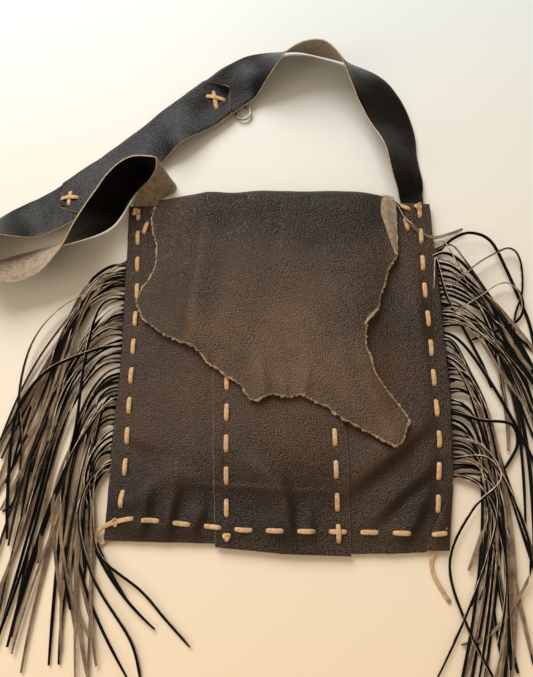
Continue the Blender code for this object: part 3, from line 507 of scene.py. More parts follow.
# Each fold of the flap: start, end, width and height
FLAP_FOLDS = [
    ((-64, 150), (-74, 10), 7, 5.2), ((-20, 150), (-46, 10), 12, 2.6), ((40, 130), (66, -30), 11, 2.8),
    ((-100, 100), (-110, 56), 8, 2.0), ((10, 20), (90, -60), 10, 2.6), ((-90, 60), (-40, -5), 8, 2.2),
    ((12, 150), (6, 70), 9, 2.0), ((-104, 140), (-92, 60), 9, 2.0), ((62, 40), (100, -70), 8, 2.4),
    ((-96, 138), (4, 150), 12, 2.6), ((-16, 151), (94, 136), 13, 3.0), ((-30, 96), (84, 84), 10, 1.6),
    ((-9, -40), (-13, 4), 4, 1.8), ((9, -38), (6, -6), 4, 1.5), ((25, -40), (29, 0), 4, 1.8),
]


FLAP_LIFT = 5.0


def flap_top(x, y):
    own = sum(height * ridge(x, y, a, b, width) for a, b, width, height in FLAP_FOLDS)
    return front_under(x, y) + FLAP_LIFT + LEATHER + own + 0.5 * (1 + waves(x, y, 34, 5))


def lay_back(x, y):
    x = min(max(x, along(LEFT_EDGE, y)), along(RIGHT_EDGE, y))
    return x, y, back_under(x, y)


def lay_fold(x, turn):
    low, high = back_under(x, MOUTH_Y), flap_top(x, MOUTH_Y)
    radius = (high - low) / 2
    slump = 1 + 0.10 * waves(x, 0, 30, 9)
    return x, MOUTH_Y + radius * math.sin(turn) * slump, low + radius * (1 - math.cos(turn))


def lay_flap(share, down):
    spot = mix(FLAP_FOOT[0][0], FLAP_FOOT[-1][0], share)
    fray = 0.9 * waves(spot, 0, 3.1, 1) + 0.6 * waves(spot, 0, 1.3, 2)
    foot = along(FLAP_FOOT, spot) + fray
    left_y, right_y = mix(MOUTH_Y, FLAP_FOOT[0][1], down), mix(MOUTH_Y, FLAP_FOOT[-1][1], down)
    left = along(FLAP_LEFT, left_y) + (0.8 * waves(left_y, 0, 3.0, 3)) * ease(0, 0.08, down)
    right = along(FLAP_RIGHT, right_y) + (0.8 * waves(right_y, 0, 3.0, 4)) * ease(0, 0.08, down)
    x, y = mix(left, right, share), mix(MOUTH_Y, foot, down)
    return x, y, flap_top(x, y)


# %% Lay the hide
shares = spread(1.0, 0.0, 1 / 150)
fold_columns = [mix(FOLD_LEFT, FOLD_RIGHT, share) for share in shares]
back_columns = [200.0, 124.0, 110.0] + fold_columns + [-124.0, -200.0]
back_rows = spread(FOOT_Y, -121, 6) + spread(-116, -106, 5) + spread(-100, MOUTH_Y, 10)
under = grid("hide_under", back_columns, back_rows, lay_back, flat_layer)
turned = grid("hide_turn", fold_columns, spread(0.0, math.pi, math.pi / 16), lay_fold, flat_layer)
over = grid("hide_over", shares, spread(0.0, 1.0, 1 / 110), lay_flap, flap_top)
hide = join([under, turned, over], "hide")
thicken(hide, (HIDE, SUEDE, RAW_EDGE))
finish_piece(hide, ("back_and_flap",))

# %% The turned-over lip at the upper right, suede side up
# The lip's inner and outer edge as (y, x)
LIP_INNER = [
    (96, 106.0), (105, 103), (115, 100), (126, 97), (135, 94), (143, 94), (152, 95.5), (158, 97),
]
LIP_OUTER = [
    (96, 108.5), (105, 108.5), (115, 109), (126, 108.5), (135, 109), (143, 108.5), (152, 108),
    (158, 107),
]


def lay_lip(u, y):
    inner, outer = along(LIP_INNER, y), along(LIP_OUTER, y) + 0.9 * waves(y, 0, 2.6, 6)
    x = mix(inner, outer, u)
    base = flap_top(x, min(y, 148.0))
    drop = 0.5 * max(0.0, y - 149) ** 1.35
    crown = 2.0 * math.sin(math.pi * min(1.0, u * 1.15 + 0.12)) - 1.6 * u
    return x, y, base + crown - 0.2 - drop * 0.5


lip = grid("turned_lip", spread(0.0, 1.0, 0.08), spread(97, 157, 1.5), lay_lip)
thicken(lip, (SUEDE, HIDE, RAW_EDGE), 1.1)
finish_piece(lip)

# %% The frayed edge of the flap: torn fibres that stick out past the skin
def frayed_edge(name, points, reach, seed):
    """A narrow ragged ribbon of fibres that follows the flap's edge through points."""
    places = [0.0]
    for a, b in zip(points, points[1:]):
        places.append(places[-1] + math.dist(a, b))
    xs = list(zip(places, [p[0] for p in points]))
    ys = list(zip(places, [p[1] for p in points]))

    def lay(u, place):
        x, y = along(xs, place), along(ys, place)
        dx = along(xs, place + 2.0) - along(xs, place - 2.0)
        dy = along(ys, place + 2.0) - along(ys, place - 2.0)
        size = math.hypot(dx, dy) or 1.0
        ragged = 0.8 + 1.5 * waves(place, 0, 2.6, seed) + 0.8 * waves(place, 9, 1.1, seed)
        ragged += 1.6 * max(0.0, waves(place, 3, 11, seed) - 0.15)
        out = mix(-0.7, reach * max(0.0, ragged), u)
        out += 0.5 * waves(place, 30, 5, seed)
        spot = x + dy / size * out, y - dx / size * out
        lift = 0.05 + 0.3 * math.sin(math.pi * u) + 0.35 * waves(place, u * 8, 1.5, seed) - 0.8 * u
        return *spot, flap_top(*spot) + lift

    piece = grid(name, spread(0.0, 1.0, 0.2), spread(0.0, places[-1], 0.8), lay)
    thicken(piece, (FRAY, FRAY, FRAY), 0.7, 0)
    finish_piece(piece)


left_side = [(x, y) for y, x in FLAP_LEFT if y < 148][::-1]
frayed_edge("frayed_left", left_side, 0.8, 21)
frayed_edge("frayed_foot", FLAP_FOOT, 0.9, 22)
frayed_edge("frayed_right", [(x, y) for y, x in FLAP_RIGHT if y <= 97], 0.9, 23)

# %% [markdown]
# ## The three front panels
# The side panels go down first and the centre panel laps over both. The leather puckers a little
# where the lace pulls it down at each hole.

# %% Stitch places
STITCH, PITCH, FOOT_PITCH, ROW_COUNT, FOOT_COUNT = 14.0, 26.0, 25.5, 10, 9
LEFT_LACE = [(-160, -127), (-65, -125.5), (66, -126), (119, -129), (160, -131)]
RIGHT_LACE = [(-160, 130), (-117, 133), (-64, 137), (16, 134), (67, 131), (160, 130)]
FOOT_LACE = [(-160, -136), (-127, -133), (-102, -132.5), (-75, -135), (-25, -139), (160, -139)]
LEFT_SEAM = [(-160, -38), (160, -45)]
RIGHT_SEAM = [(-160, 53), (160, 43)]


def stitch_ends(first, pitch, count, direction):
    centres = [first + direction * pitch * i for i in range(count)]
    return [(c - direction * STITCH / 2, c + direction * STITCH / 2) for c in centres]


# Each stitch: the places of its two holes along its row
SIDE_STITCHES = [(147.0, 136.0)] + stitch_ends(118.0, PITCH, ROW_COUNT, -1)
LEFT_SEAM_STITCHES = stitch_ends(112.0, PITCH, ROW_COUNT, -1)
RIGHT_SEAM_STITCHES = stitch_ends(118.0, PITCH, ROW_COUNT, -1) + [(-133.5, -147.5)]
FOOT_STITCHES = stitch_ends(-101.0, FOOT_PITCH, FOOT_COUNT, 1)
holes = [(along(LEFT_LACE, y), y) for pair in SIDE_STITCHES for y in pair]
holes += [(along(RIGHT_LACE, y), y) for pair in SIDE_STITCHES for y in pair]
holes += [(along(LEFT_SEAM, y), y) for pair in LEFT_SEAM_STITCHES for y in pair]
holes += [(along(RIGHT_SEAM, y), y) for pair in RIGHT_SEAM_STITCHES for y in pair]
holes += [(x, along(FOOT_LACE, x)) for pair in FOOT_STITCHES for x in pair]
print("holes punched:", len(holes))


PUCKER_DEPTH, PUCKER_SIZE, PUCKER_REACH = 0.55, 3.0, 7


def pucker(x, y):
    """How far the lace pulls the leather down near its holes."""
    deep = 0.0
    for hx, hy in holes:
        if abs(x - hx) < PUCKER_REACH and abs(y - hy) < PUCKER_REACH:
            deep += PUCKER_DEPTH * math.exp(-((x - hx) ** 2 + (y - hy) ** 2) / PUCKER_SIZE ** 2)
    return deep


# %% Lay the front panels
# The panels' side edges as (y, x) and their feet as (x, y). The centre panel hides the inner edges.
CENTRE_LEFT = [(-160, -47), (-127, -49), (-77, -51), (-47, -52), (-8, -54), (MOUTH_Y, -60)]
CENTRE_RIGHT = [(-160, 63), (-137, 62), (-97, 61), (-66, 60), (-52, 58), (MOUTH_Y, 50)]
LEFT_FOOT = [(-141, -149), (-98, -150), (-30, -150)]
CENTRE_FOOT = [(-61, -152), (-19, -155), (5, -157), (64, -158)]
RIGHT_FOOT = [(30, -157), (99, -155), (150, -152)]
INNER_LEFT, INNER_RIGHT = [(0, -27)], [(0, 40)]
RIGHT_CORNER = [(-160, 118), (-134, 129), (-112, 141), (-100, 146), (-30, 148), (60, 144), (MOUTH_Y, 140)]


def panel(name, left, right, foot, top, soft=0.26):
    """A front panel between two edges given as (y, x) lists, laid at the height of top(x, y)."""
    def lay(u, v):
        y = mix(FOOT_Y, MOUTH_Y, v)
        x = mix(along(left, y), along(right, y), u) + 0.35 * waves(y, 0, 9, 11) * (u in (0.0, 1.0))
        y += (along(foot, x) - FOOT_Y + 0.4 * waves(x, 0, 8, 12)) * (1 - ease(0.0, 0.07, v))
        return x, y, top(x, y) - pucker(x, y)

    width = abs(along(right, 0) - along(left, 0))
    height = MOUTH_Y - FOOT_Y
    piece = grid(name, spread(0.0, 1.0, 1.6 / width), spread(0.0, 1.0, 1.7 / height), lay, top)
    thicken(piece, FRONT, bevel=soft)
    finish_piece(piece, (name + "_panel",))


FRONT = (PANEL, SUEDE, DARK_EDGE)
panel("front_left", LEFT_EDGE, INNER_LEFT, LEFT_FOOT, front_top)
panel("front_right", INNER_RIGHT, RIGHT_CORNER, RIGHT_FOOT, front_top)
panel("front_centre", CENTRE_LEFT, CENTRE_RIGHT, CENTRE_FOOT, centre_top, 0.42)


# %% The lower right corner, turned so that the grain shows beside the panel
def lay_corner(u, y):
    inner, outer = along(RIGHT_CORNER, y) - 0.6, along(RIGHT_EDGE, y) + 0.8
    x = mix(inner, max(outer, inner + 0.5), u)
    roll = 1.4 * math.sin(math.pi * u) * ease(-100, -125, y)
    height = mix(front_top(inner, y) + 0.5, 3.7, ease(0.0, 1.0, u)) + roll
    return x, y - 0.5 * ease(-140, -151, y), height


corner = grid("turned_corner", spread(0.0, 1.0, 0.06), spread(-151.5, -101, 1.6), lay_corner, front_top)
thicken(corner, FRONT, 0.9)
finish_piece(corner)


# %% [markdown]
# ## The lacing
# The lace is a flat strip of pale suede, 4 mm wide. Pulled tight, it comes up plump between its two
# holes and narrows as it dives into them, so each stitch looks like a grain of rice.

# %% Lace helper
LACE_WIDTH, LACE_THICK = 4.0, 1.6


def lace(name, path, across, replaced=(), width=LACE_WIDTH, thick=LACE_THICK, sides=10,
         finish=LACE, body="bag"):
    """A soft flat lace along path, a list of (point, share of its full width).

    across is the direction of its width, or a function that gives it for each point.
    """
    spots = [Vector(p) for p, _ in path]
    count = len(path)

    def lay(turn, i):
        i = int(i)
        run = (spots[min(i + 1, count - 1)] - spots[max(i - 1, 0)]).normalized()
        wide = across(i) if callable(across) else Vector(across)
        wide = (wide - run * wide.dot(run)).normalized()
        deep = run.cross(wide)
        full = path[i][1]
        # A power below 1 squares the round section up a little
        c, s = (math.copysign(abs(v) ** 0.75, v) for v in (math.cos(turn), math.sin(turn)))
        uneven = 1 + 0.06 * waves(spots[i].x, spots[i].y, 4, 3)
        return spots[i] + wide * c * width / 2 * full * uneven + deep * s * thick / 2 * mix(1.0, full, 0.5)

    turns = [2 * math.pi * k / sides for k in range(sides)] + [0.0]
    piece = grid(name, turns, list(range(count)), lay)
    bpy.ops.object.mode_set(mode="EDIT")
    bpy.ops.mesh.select_all(action="SELECT")
    bpy.ops.mesh.remove_doubles(threshold=0.001 * MM)
    bpy.ops.mesh.select_all(action="DESELECT")
    bpy.ops.mesh.select_non_manifold()
    bpy.ops.mesh.fill_holes(sides=sides + 1)
    bpy.ops.mesh.select_all(action="SELECT")
    bpy.ops.mesh.normals_make_consistent(inside=False)
    bpy.ops.object.mode_set(mode="OBJECT")
    piece.data.materials.append(finish)
    bpy.ops.object.shade_smooth()
    finish_piece(piece, replaced, body)
    return piece


# %% In and out of the holes
# How far the lace dives below the leather, and how far it lies above it at its holes and on a stitch
DIVE, AT_HOLE, ON_STITCH = 0.8, 0.5, 0.8


def run_in_and_out(stitches, at, over, unders, lead=3.5):
    """Points of a lace that shows over each stitch and hides under the leather between them."""
    direction = 1 if stitches[0][1] > stitches[0][0] else -1
    path = []

    def add(place, height, full):
        x, y = at(place)
        path.append(((x, y, height), full))

    start = stitches[0][0]
    add(start - direction * lead, unders[0](*at(start)) - DIVE, 0.9)
    for i, (start, end) in enumerate(stitches):
        low = unders[i](*at(start)) - DIVE
        peak = over(*at(start)) + AT_HOLE
        add(start - direction * 0.7, low, 0.85)
        add(start - direction * 0.15, mix(low, peak, 0.5), 0.8)
        add(start + direction * 0.5, peak - 0.15, 0.82)
        for share in (0.12, 0.25, 0.5, 0.75, 0.88):
            place = mix(start, end, share)
            full = 1.0 if 0.2 < share < 0.8 else 0.95
            add(place, over(*at(place)) + ON_STITCH + 0.35 * math.sin(math.pi * share), full)
        low = unders[i + 1](*at(end)) - DIVE
        peak = over(*at(end)) + AT_HOLE
        add(end - direction * 0.5, peak - 0.15, 0.82)
        add(end + direction * 0.15, mix(low, peak, 0.5), 0.8)
        add(end + direction * 0.7, low, 0.85)
    end = stitches[-1][1]
    add(end + direction * lead, unders[-1](*at(end)) - DIVE, 0.9)
    return path


def sunk(top):
    """The height of a layer with its puckers."""
    return lambda x, y: top(x, y) - pucker(x, y)


# %% Side, seam and foot laces
def on_line(line):
    """The place on a side or seam line at a height."""
    return lambda y: (along(line, y), y)


for name, line in (("left", LEFT_LACE), ("right", RIGHT_LACE)):
    path = run_in_and_out(SIDE_STITCHES, on_line(line), sunk(front_top), [back_under] * (ROW_COUNT + 2))
    lace("lacing_" + name, path, (1, 0, 0), replaced=("side_lace_" + name,))

path = run_in_and_out(LEFT_SEAM_STITCHES, on_line(LEFT_SEAM), sunk(centre_top),
                      [front_under] * ROW_COUNT + [back_under], lead=4.5)
lace("seam_lacing_left", path, (1, 0, 0), replaced=("seam_lace_left",))


def over_cross(x, y):
    """The last stitch of the right seam lies over the foot lace."""
    return centre_top(x, y) - pucker(x, y) + (1.3 if y < -131 else 0.0)


path = run_in_and_out(RIGHT_SEAM_STITCHES, on_line(RIGHT_SEAM), over_cross,
                      [front_under] * ROW_COUNT + [back_under] * 2)
lace("seam_lacing_right", path, (1, 0, 0), replaced=("seam_lace_right",))


def over_foot(x, y):
    centre = along(CENTRE_LEFT, FOOT_Y) - 0.3 <= x <= along(CENTRE_RIGHT, FOOT_Y) + 0.3
    return (centre_top(x, y) if centre else front_top(x, y)) - pucker(x, y)


def foot_at(x):
    return x, along(FOOT_LACE, x)


def on_corner(x, y, height=0.95):
    return x, y, front_top(x, y) + height


# From under the foot round the lower left corner to its knot, then down to the first stitch
CORNER_END = 9
wrap = [((-133, -146.5, 0.5), 0.9), ((-138, -149.8, 0.5), 0.9), ((-142.4, -152.2, 1.2), 0.9),
        ((-145.6, -150.8, 2.6), 0.9), ((-146.8, -146.6, 3.9), 0.9), ((-145, -142, 4.9), 0.95),
        (on_corner(-140.5, -138.2, 1.1), 1.0), (on_corner(-134, -135.6), 1.0),
        (on_corner(-126.5, -133.4), 1.0), (on_corner(-119.5, -131.8), 0.95),
        (on_corner(-115.6, -131.4, 0.5), 0.8),
        ((-114.9, -131.4, 2.6), 0.8), ((-114.2, -131.6, 0.5), 0.85)]


def foot_across(i):
    """Level and square to the lace round the corner, and along the foot after it."""
    if i > CORNER_END:
        return Vector((0, 1, 0))
    run = Vector(wrap[min(i + 1, CORNER_END)][0]) - Vector(wrap[max(i - 1, 0)][0])
    return Vector((-run.y, run.x, 0)).normalized()


path = wrap + run_in_and_out(FOOT_STITCHES, foot_at, over_foot, [back_under] * (FOOT_COUNT + 1), lead=4.0)
path += [((131, -139, 0.5), 0.9), ((133.4, -139, 0.6), 0.85), ((134, -139, 2.4), 0.85),
         ((134.8, -139, 3.9), 0.9), ((137.5, -139, 4.1), 0.9)]
lace("foot_lacing", path, foot_across, replaced=("foot_lace",))

# %% [markdown]
# Knots finish the laces, and extra stitches hold the strap at the top corners. A knot is drawn as a
# small trefoil of the same lace, pulled tight.


# %% Knots and corner stitches
KNOT_STEPS = 36


def knot(name, spot, radius, replaced=(), turn=0.0, thick=1.7):
    """A tight trefoil of lace about a spot, its loops reaching out by radius."""
    path = []
    for k in range(KNOT_STEPS + 1):
        t = 2 * math.pi * k / KNOT_STEPS
        x, y = math.sin(t) + 2 * math.sin(2 * t), math.cos(t) - 2 * math.cos(2 * t)
        z = -math.sin(3 * t)
        c, s = math.cos(turn), math.sin(turn)
        path.append(((spot[0] + (x * c - y * s) * radius / 3, spot[1] + (x * s + y * c) * radius / 3,
                      spot[2] + z * radius * 0.28), 1.0))
    lace(name, path, (0, 0, 1), replaced=replaced, width=thick, thick=thick * 0.95, sides=8)


def above(x, y, height, top=front_top):
    return x, y, top(x, y) + height


knot("foot_knot", above(-38, -144.5, 1.3, centre_top), 2.4, ("seam_knot",), thick=3.0)
knot("corner_knot_low_left", above(-131.5, -135, 1.8), 3.0, turn=0.6, thick=2.0)
knot("corner_knot_top_left", above(-132, 143, 1.9), 3.4, turn=1.1, thick=2.1)
knot("corner_knot_top_right", above(129, 146, 1.9), 3.2, turn=0.3, thick=2.0)


def single_stitch(name, start, end, top):
    """One stitch of lace from hole to hole, anywhere on a layer."""
    run = Vector((end[0] - start[0], end[1] - start[1], 0)).normalized()
    path = [((*start, top(*start) - 2.0), 0.8), ((*start, top(*start) + 0.3), 0.8)]
    for share in (0.15, 0.35, 0.65, 0.85):
        x, y = mix(start[0], end[0], share), mix(start[1], end[1], share)
        path.append(((x, y, top(x, y) + 0.8 + 0.3 * math.sin(math.pi * share)), 1.0))
    path += [((*end, top(*end) + 0.3), 0.8), ((*end, top(*end) - 2.0), 0.8)]
    lace(name, path, (-run.y, run.x, 0))


single_stitch("strap_stitch_left", (-120.5, 133), (-123.5, 122), front_top)
single_stitch("strap_stitch_right", (116.5, 135), (119, 124), front_top)
single_stitch("strap_stitch_right_top", (110.5, 148.5), (121.5, 143.5), front_top)
single_stitch("corner_stitch_low_right", (127.5, -139.8), (138.5, -138.6), lambda x, y: 5.6)

# %% The loose end of the foot lace, a free cord that comes down to the table
TAIL_ROUTE = [(138.0, -134.0, 4.7), (135.5, -139.5, 4.7), (133.0, -145.0, 4.3), (130.6, -150.0, 3.6),
              (128.2, -154.5, 2.4), (126.6, -159.0, 1.2), (126.2, -164.5, 0.7), (127.8, -171.0, 0.7),
              (130.2, -176.0, 0.7), (133.0, -181.0, 0.7), (136.0, -186.0, 0.7), (139.2, -191.0, 0.7)]


def tail_across(i):
    run = Vector(TAIL_ROUTE[min(i + 1, len(TAIL_ROUTE) - 1)]) - Vector(TAIL_ROUTE[max(i - 1, 0)])
    return Vector((run.y, -run.x, 0)).normalized()


tail = lace("loose_lace_end", [(p, 1.0) for p in TAIL_ROUTE], tail_across, replaced=("lace_tail",),
            width=3.4, thick=1.0)

# %% [markdown]
# ## The strap
# Three lengths of softer, blacker leather make the strap. It leaves the right corner, arches over
# the table, comes down across the left side, turns back on edge and slips in at the left corner. Its
# path is a list of stations, each with a roll angle: 0 lies flat with the grain up, 90 stands on edge.

# %% Stations of the strap
LOW_LIFT, LAP_LIFT, SEAM_LIFT, RING_LIFT = LEATHER / 2, 1.3, 2.8, 4.9
STRAP_WIDTH = 45
START_WIDTHS = [22.0] * 4 + [28, 36, 42]
# Each station: x, y, roll angle and lift above the table
STATIONS = [
    (124, 131, 0, SEAM_LIFT), (124, 149, 0, SEAM_LIFT), (124, 154, 0, SEAM_LIFT),
    (123.5, 158, 0, SEAM_LIFT), (122, 168, 20, 1.4), (118, 180, 32, LOW_LIFT), (114, 195, 40, LOW_LIFT),
    (111, 212, 34, LOW_LIFT), (106, 232, 22, 1), (96, 255, 20, 2), (82, 276, 34, 2), (64, 293, 56, 1),
    (44, 304, 68, LOW_LIFT), (22, 308, 60, LOW_LIFT), (2, 304, 48, 1.2), (-17, 295, 26, 3.5),
    (-34, 283, 3, RING_LIFT), (-48, 273, 0, RING_LIFT), (-61, 263, 0, RING_LIFT),
    (-76, 251, 0, RING_LIFT), (-97, 236, 4, 3.5), (-118, 219, 2, LOW_LIFT), (-141, 199, 4, LOW_LIFT),
    (-160, 183, 9, 0.9), (-180, 167, 12, LAP_LIFT), (-197, 154, 12, LAP_LIFT),
    (-213, 144, 12, LAP_LIFT), (-231, 135, 14, LAP_LIFT), (-248, 129, 30, LOW_LIFT),
    (-266, 121, 54, LOW_LIFT), (-277, 111, 75, LOW_LIFT), (-280, 100, 92, LOW_LIFT),
    (-274, 91, 108, LOW_LIFT), (-261, 86, 126, LOW_LIFT), (-245, 86, 140, LOW_LIFT),
    (-230, 89, 145, LOW_LIFT), (-213, 95, 140, LOW_LIFT), (-195, 105, 122, LOW_LIFT),
    (-178, 119, 98, LOW_LIFT), (-163, 134, 80, LOW_LIFT), (-154, 147, 76, LOW_LIFT),
    (-147, 160, 78, LOW_LIFT), (-139, 171, 83, LOW_LIFT), (-128, 180, 90, LOW_LIFT),
    (-114, 183, 98, LOW_LIFT),
]
# At its left end the strap twists into its slot: its upper and its base edge, as (x, y, z)
ENTRY = [
    ((-106.0, 178.0, 44.0), (-99.0, 178.5, 0.8)), ((-107.5, 171.5, 37.0), (-97.0, 170.0, 1.2)),
    ((-116.0, 169.0, 24.0), (-104.0, 163.0, 1.8)), ((-127.0, 165.0, 12.0), (-111.5, 159.5, 2.8)),
    ((-134.5, 160.5, 5.0), (-114.0, 154.8, 4.0)), ((-136.0, 153.5, 4.0), (-114.2, 152.0, 4.0)),
    ((-136.0, 148.0, 4.0), (-114.3, 147.0, 4.0)), ((-136.6, 131.0, 4.0), (-115.0, 131.0, 4.0)),
]


# %% Rows along the strap
def through(values, i, t):
    """A smooth value between values[i] and values[i + 1], through all of them."""
    a, b = values[max(i - 1, 0)], values[i]
    c, d = values[i + 1], values[min(i + 2, len(values) - 1)]
    bend, swing = 2 * a - 5 * b + 4 * c - d, 3 * b - a - 3 * c + d
    return 0.5 * (2 * b + (c - a) * t + bend * t * t + swing * t ** 3)


def strap_edges(fine=3.0):
    """Rows along the strap: run length, upper edge, base edge."""
    rows = []
    widths = START_WIDTHS + [STRAP_WIDTH] * (len(STATIONS) - len(START_WIDTHS))
    for i, ((x, y, roll, lift), width) in enumerate(zip(STATIONS, widths)):
        before, after = STATIONS[max(i - 1, 0)], STATIONS[min(i + 1, len(STATIONS) - 1)]
        heading = Vector((after[0] - before[0], after[1] - before[1], 0)).normalized()
        outward = Vector((heading.y, -heading.x, 0))
        angle = math.radians(roll)
        wide = Vector((0, 0, math.sin(angle))) - outward * math.cos(angle)
        height = lift + abs(math.sin(angle)) * width / 2 + LEATHER * max(0.0, -math.cos(angle))
        centre = Vector((x, y, height))
        rows.append((centre + wide * width / 2, centre - wide * width / 2))
    rows += [(Vector(upper), Vector(base)) for upper, base in ENTRY]
    columns = list(zip(*([*upper, *base] for upper, base in rows)))
    made, run, last = [], 0.0, None
    for i in range(len(rows) - 1):
        gap = (rows[i + 1][0] + rows[i + 1][1] - rows[i][0] - rows[i][1]).length / 2
        steps = max(1, round(gap / fine))
        for k in range(steps + (i == len(rows) - 2)):
            six = [through(column, i, k / steps) for column in columns]
            upper, base = Vector(six[:3]), Vector(six[3:])
            centre = (upper + base) / 2
            if last is not None:
                run += math.dist(last[:2], centre[:2])
            last = centre
            made.append((run, upper, base))
    return made


rows = strap_edges()
print("strap runs", round(rows[-1][0]), "mm")


def nearest_row(spot):
    """The number of the row whose middle is nearest to a place."""
    return min(range(len(rows)), key=lambda i: math.dist(((rows[i][1] + rows[i][2]) / 2)[:2], spot))


def run_at(spot):
    return rows[nearest_row(spot)][0]


def strap_frame(i):
    """A row's middle, the direction of its width and the direction that its grain faces."""
    upper, base = rows[i][1:]
    before, after = rows[max(i - 1, 0)], rows[min(i + 1, len(rows) - 1)]
    heading = (after[1] + after[2] - before[1] - before[2]).normalized()
    wide = (upper - base).normalized()
    return (upper + base) / 2, wide, heading.cross(wide).normalized()


# %% Lay the three lengths
TIP_LENGTH = 14.0
right_lap, left_lap = run_at((-62, 264)), run_at((-196, 157))
# Where the strap's upper edge is pushed up, and where its base edge is
raised, hollow = run_at((-108, 227)), run_at((-40, 278))


def ripple(run, u):
    """How far the strap's leather stands up, at a run and a share u of its half width."""
    height = 6.5 * math.exp(-((run - raised) / 20) ** 2) * ((1 + u) / 2) ** 1.4
    height += 4.4 * math.exp(-((run - hollow) / 26) ** 2) * (1 - u) / 2
    height += 2.4 * max(0.0, 0.1 + waves(run, u * 30, 48, 7))
    return height + 0.35 * waves(run, u * 22, 15, 7) + 0.5 * abs(u) ** 3


def strap_length(name, start, end, lift, pointed, node_name):
    """The part of the strap between two runs, lifted along its grain, its tips cut to a point."""
    part = [i for i, row in enumerate(rows) if start <= row[0] <= end]
    first, last = rows[part[0]][0], rows[part[-1]][0]

    def lay(u, i):
        run, upper, base = rows[i]
        middle, wide, grain = strap_frame(i)
        half = (upper - base).length / 2
        if pointed:
            half *= min(1.0, 0.03 + min(run - first, last - run) / TIP_LENGTH)
        half += 0.5 * waves(run, u, 14, 8)
        return middle + wide * u * half + grain * (LEATHER + lift + ripple(run, u))

    piece = grid(name, spread(1.0, -1.0, 2 / 12), part, lay, flat_layer)
    thicken(piece, (STRAP, SUEDE, RAW_EDGE))
    finish_piece(piece, (node_name,))


strap_length("strap_from_right", 0, right_lap + 20, 0.0, False, "strap_right")
strap_length("strap_middle_length", right_lap - 17, left_lap + 14, LAP_STEP, True, "strap_middle")
strap_length("strap_to_left", left_lap - 20, math.inf, 0.0, False, "strap_left")


# %% Cross stitches at the laps
def cross_bar(name, start, end, level, node_name):
    """One bar of lace over a lap, from hole to hole, with its ends turned under."""
    i = nearest_row(((start[0] + end[0]) / 2, (start[1] + end[1]) / 2))
    centre, _, grain = strap_frame(i)

    def onto(x, y, height):
        flat = Vector((x - centre.x, y - centre.y, 0))
        z = -(flat.x * grain.x + flat.y * grain.y) / grain.z
        return centre + flat + Vector((0, 0, z)) + grain * height

    bar = (onto(*end, 0) - onto(*start, 0)).normalized()
    crest, shoulder = 2 * LEATHER + LAP_STEP + level, 3.4
    path = [(onto(*start, -DIVE) + bar * 3.5, 0.9), (onto(*start, -DIVE), 0.85), (onto(*start, 1.4), 0.8),
            (onto(*start, 3.1), 0.82)]
    for share in (0.12, 0.28, 0.5, 0.72, 0.88):
        x, y = mix(start[0], end[0], share), mix(start[1], end[1], share)
        path.append((onto(x, y, shoulder + (crest - shoulder) * math.sin(math.pi * share)), 1.0))
    path += [(onto(*end, 3.1), 0.82), (onto(*end, 1.4), 0.8), (onto(*end, -DIVE), 0.85),
             (onto(*end, -DIVE) - bar * 3.5, 0.9)]
    lace(name, path, tuple(grain.cross(bar)), replaced=(node_name,))


cross_bar("cross_right_1", (-65, 276), (-60, 252), 0.1, "lap_lace_right_1")
cross_bar("cross_right_2", (-72, 266), (-52, 261), 1.4, "lap_lace_right_2")
cross_bar("cross_left_1", (-196, 164.5), (-195.5, 149.5), 0.1, "lap_lace_left_1")
cross_bar("cross_left_2", (-204.5, 157), (-187, 157), 1.4, "lap_lace_left_2")

# %% [markdown]
# ## The split ring
# A small ring of two wire turns hangs at the edge of the right lap. It is a coil of two turns, swept
# by a round wire, and it rides on a body of its own.

# %% Ring
RING_CENTRE, RING_RADIUS, WIRE_RADIUS = Vector((-34.7, 250.3, 2.4)), 7.2, 0.78
COIL_STEPS, COIL_TURNS, COIL_START = 64, 2, 0.9
coil = []
for k in range(COIL_STEPS + 1):
    t = k / COIL_STEPS
    angle = t * COIL_TURNS * 2 * math.pi + COIL_START
    height = (t - 0.5) * COIL_TURNS * WIRE_RADIUS * 1.1
    radius = RING_RADIUS + 0.5 * math.cos(t * 2 * math.pi)
    coil.append((RING_CENTRE + Vector((math.cos(angle) * radius, math.sin(angle) * radius, height)), 1.0))
lace("split_ring", coil, (0, 0, 1), ("ring",), WIRE_RADIUS * 2, WIRE_RADIUS * 2, 12, WIRE,
     "ring")
# The small loop that holds the ring is shown as it was packed, in suede
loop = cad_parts["ring_loop"].data
loop.materials.clear()
loop.materials.append(SUEDE)

# %% [markdown]
# ## The fringes
# Each fringe is a strip of leather cut into thongs about 3 mm wide. The thongs leave the seam level,
# bend over and fall in a loose bundle towards the foot, in clumps that lean together. Some twist on
# the way, so black grain and taupe suede alternate, and every cut edge shows as a pale line. One thong
# is modelled flat, then copied and laid along its own path.

# %% One flat thong
THONG_WIDTH, THONG_THICK, THONG_ROWS = 2.8, 0.9, 44
# From this share of its length on, a thong narrows by the second share
TIP_FROM, TIP_NARROWS = 0.93, 0.35
flat_thong = grid("flat_thong", [-0.5, 0.5], spread(0.0, 1.0, 1 / THONG_ROWS),
                  lambda u, v: (u / MM, v / MM, 0.0), flat_layer)
FRINGE = (THONG, THONG_SUEDE, THONG_EDGE)
thicken(flat_thong, FRINGE, 1 / MM, 0)
bpy.ops.object.select_all(action="DESELECT")


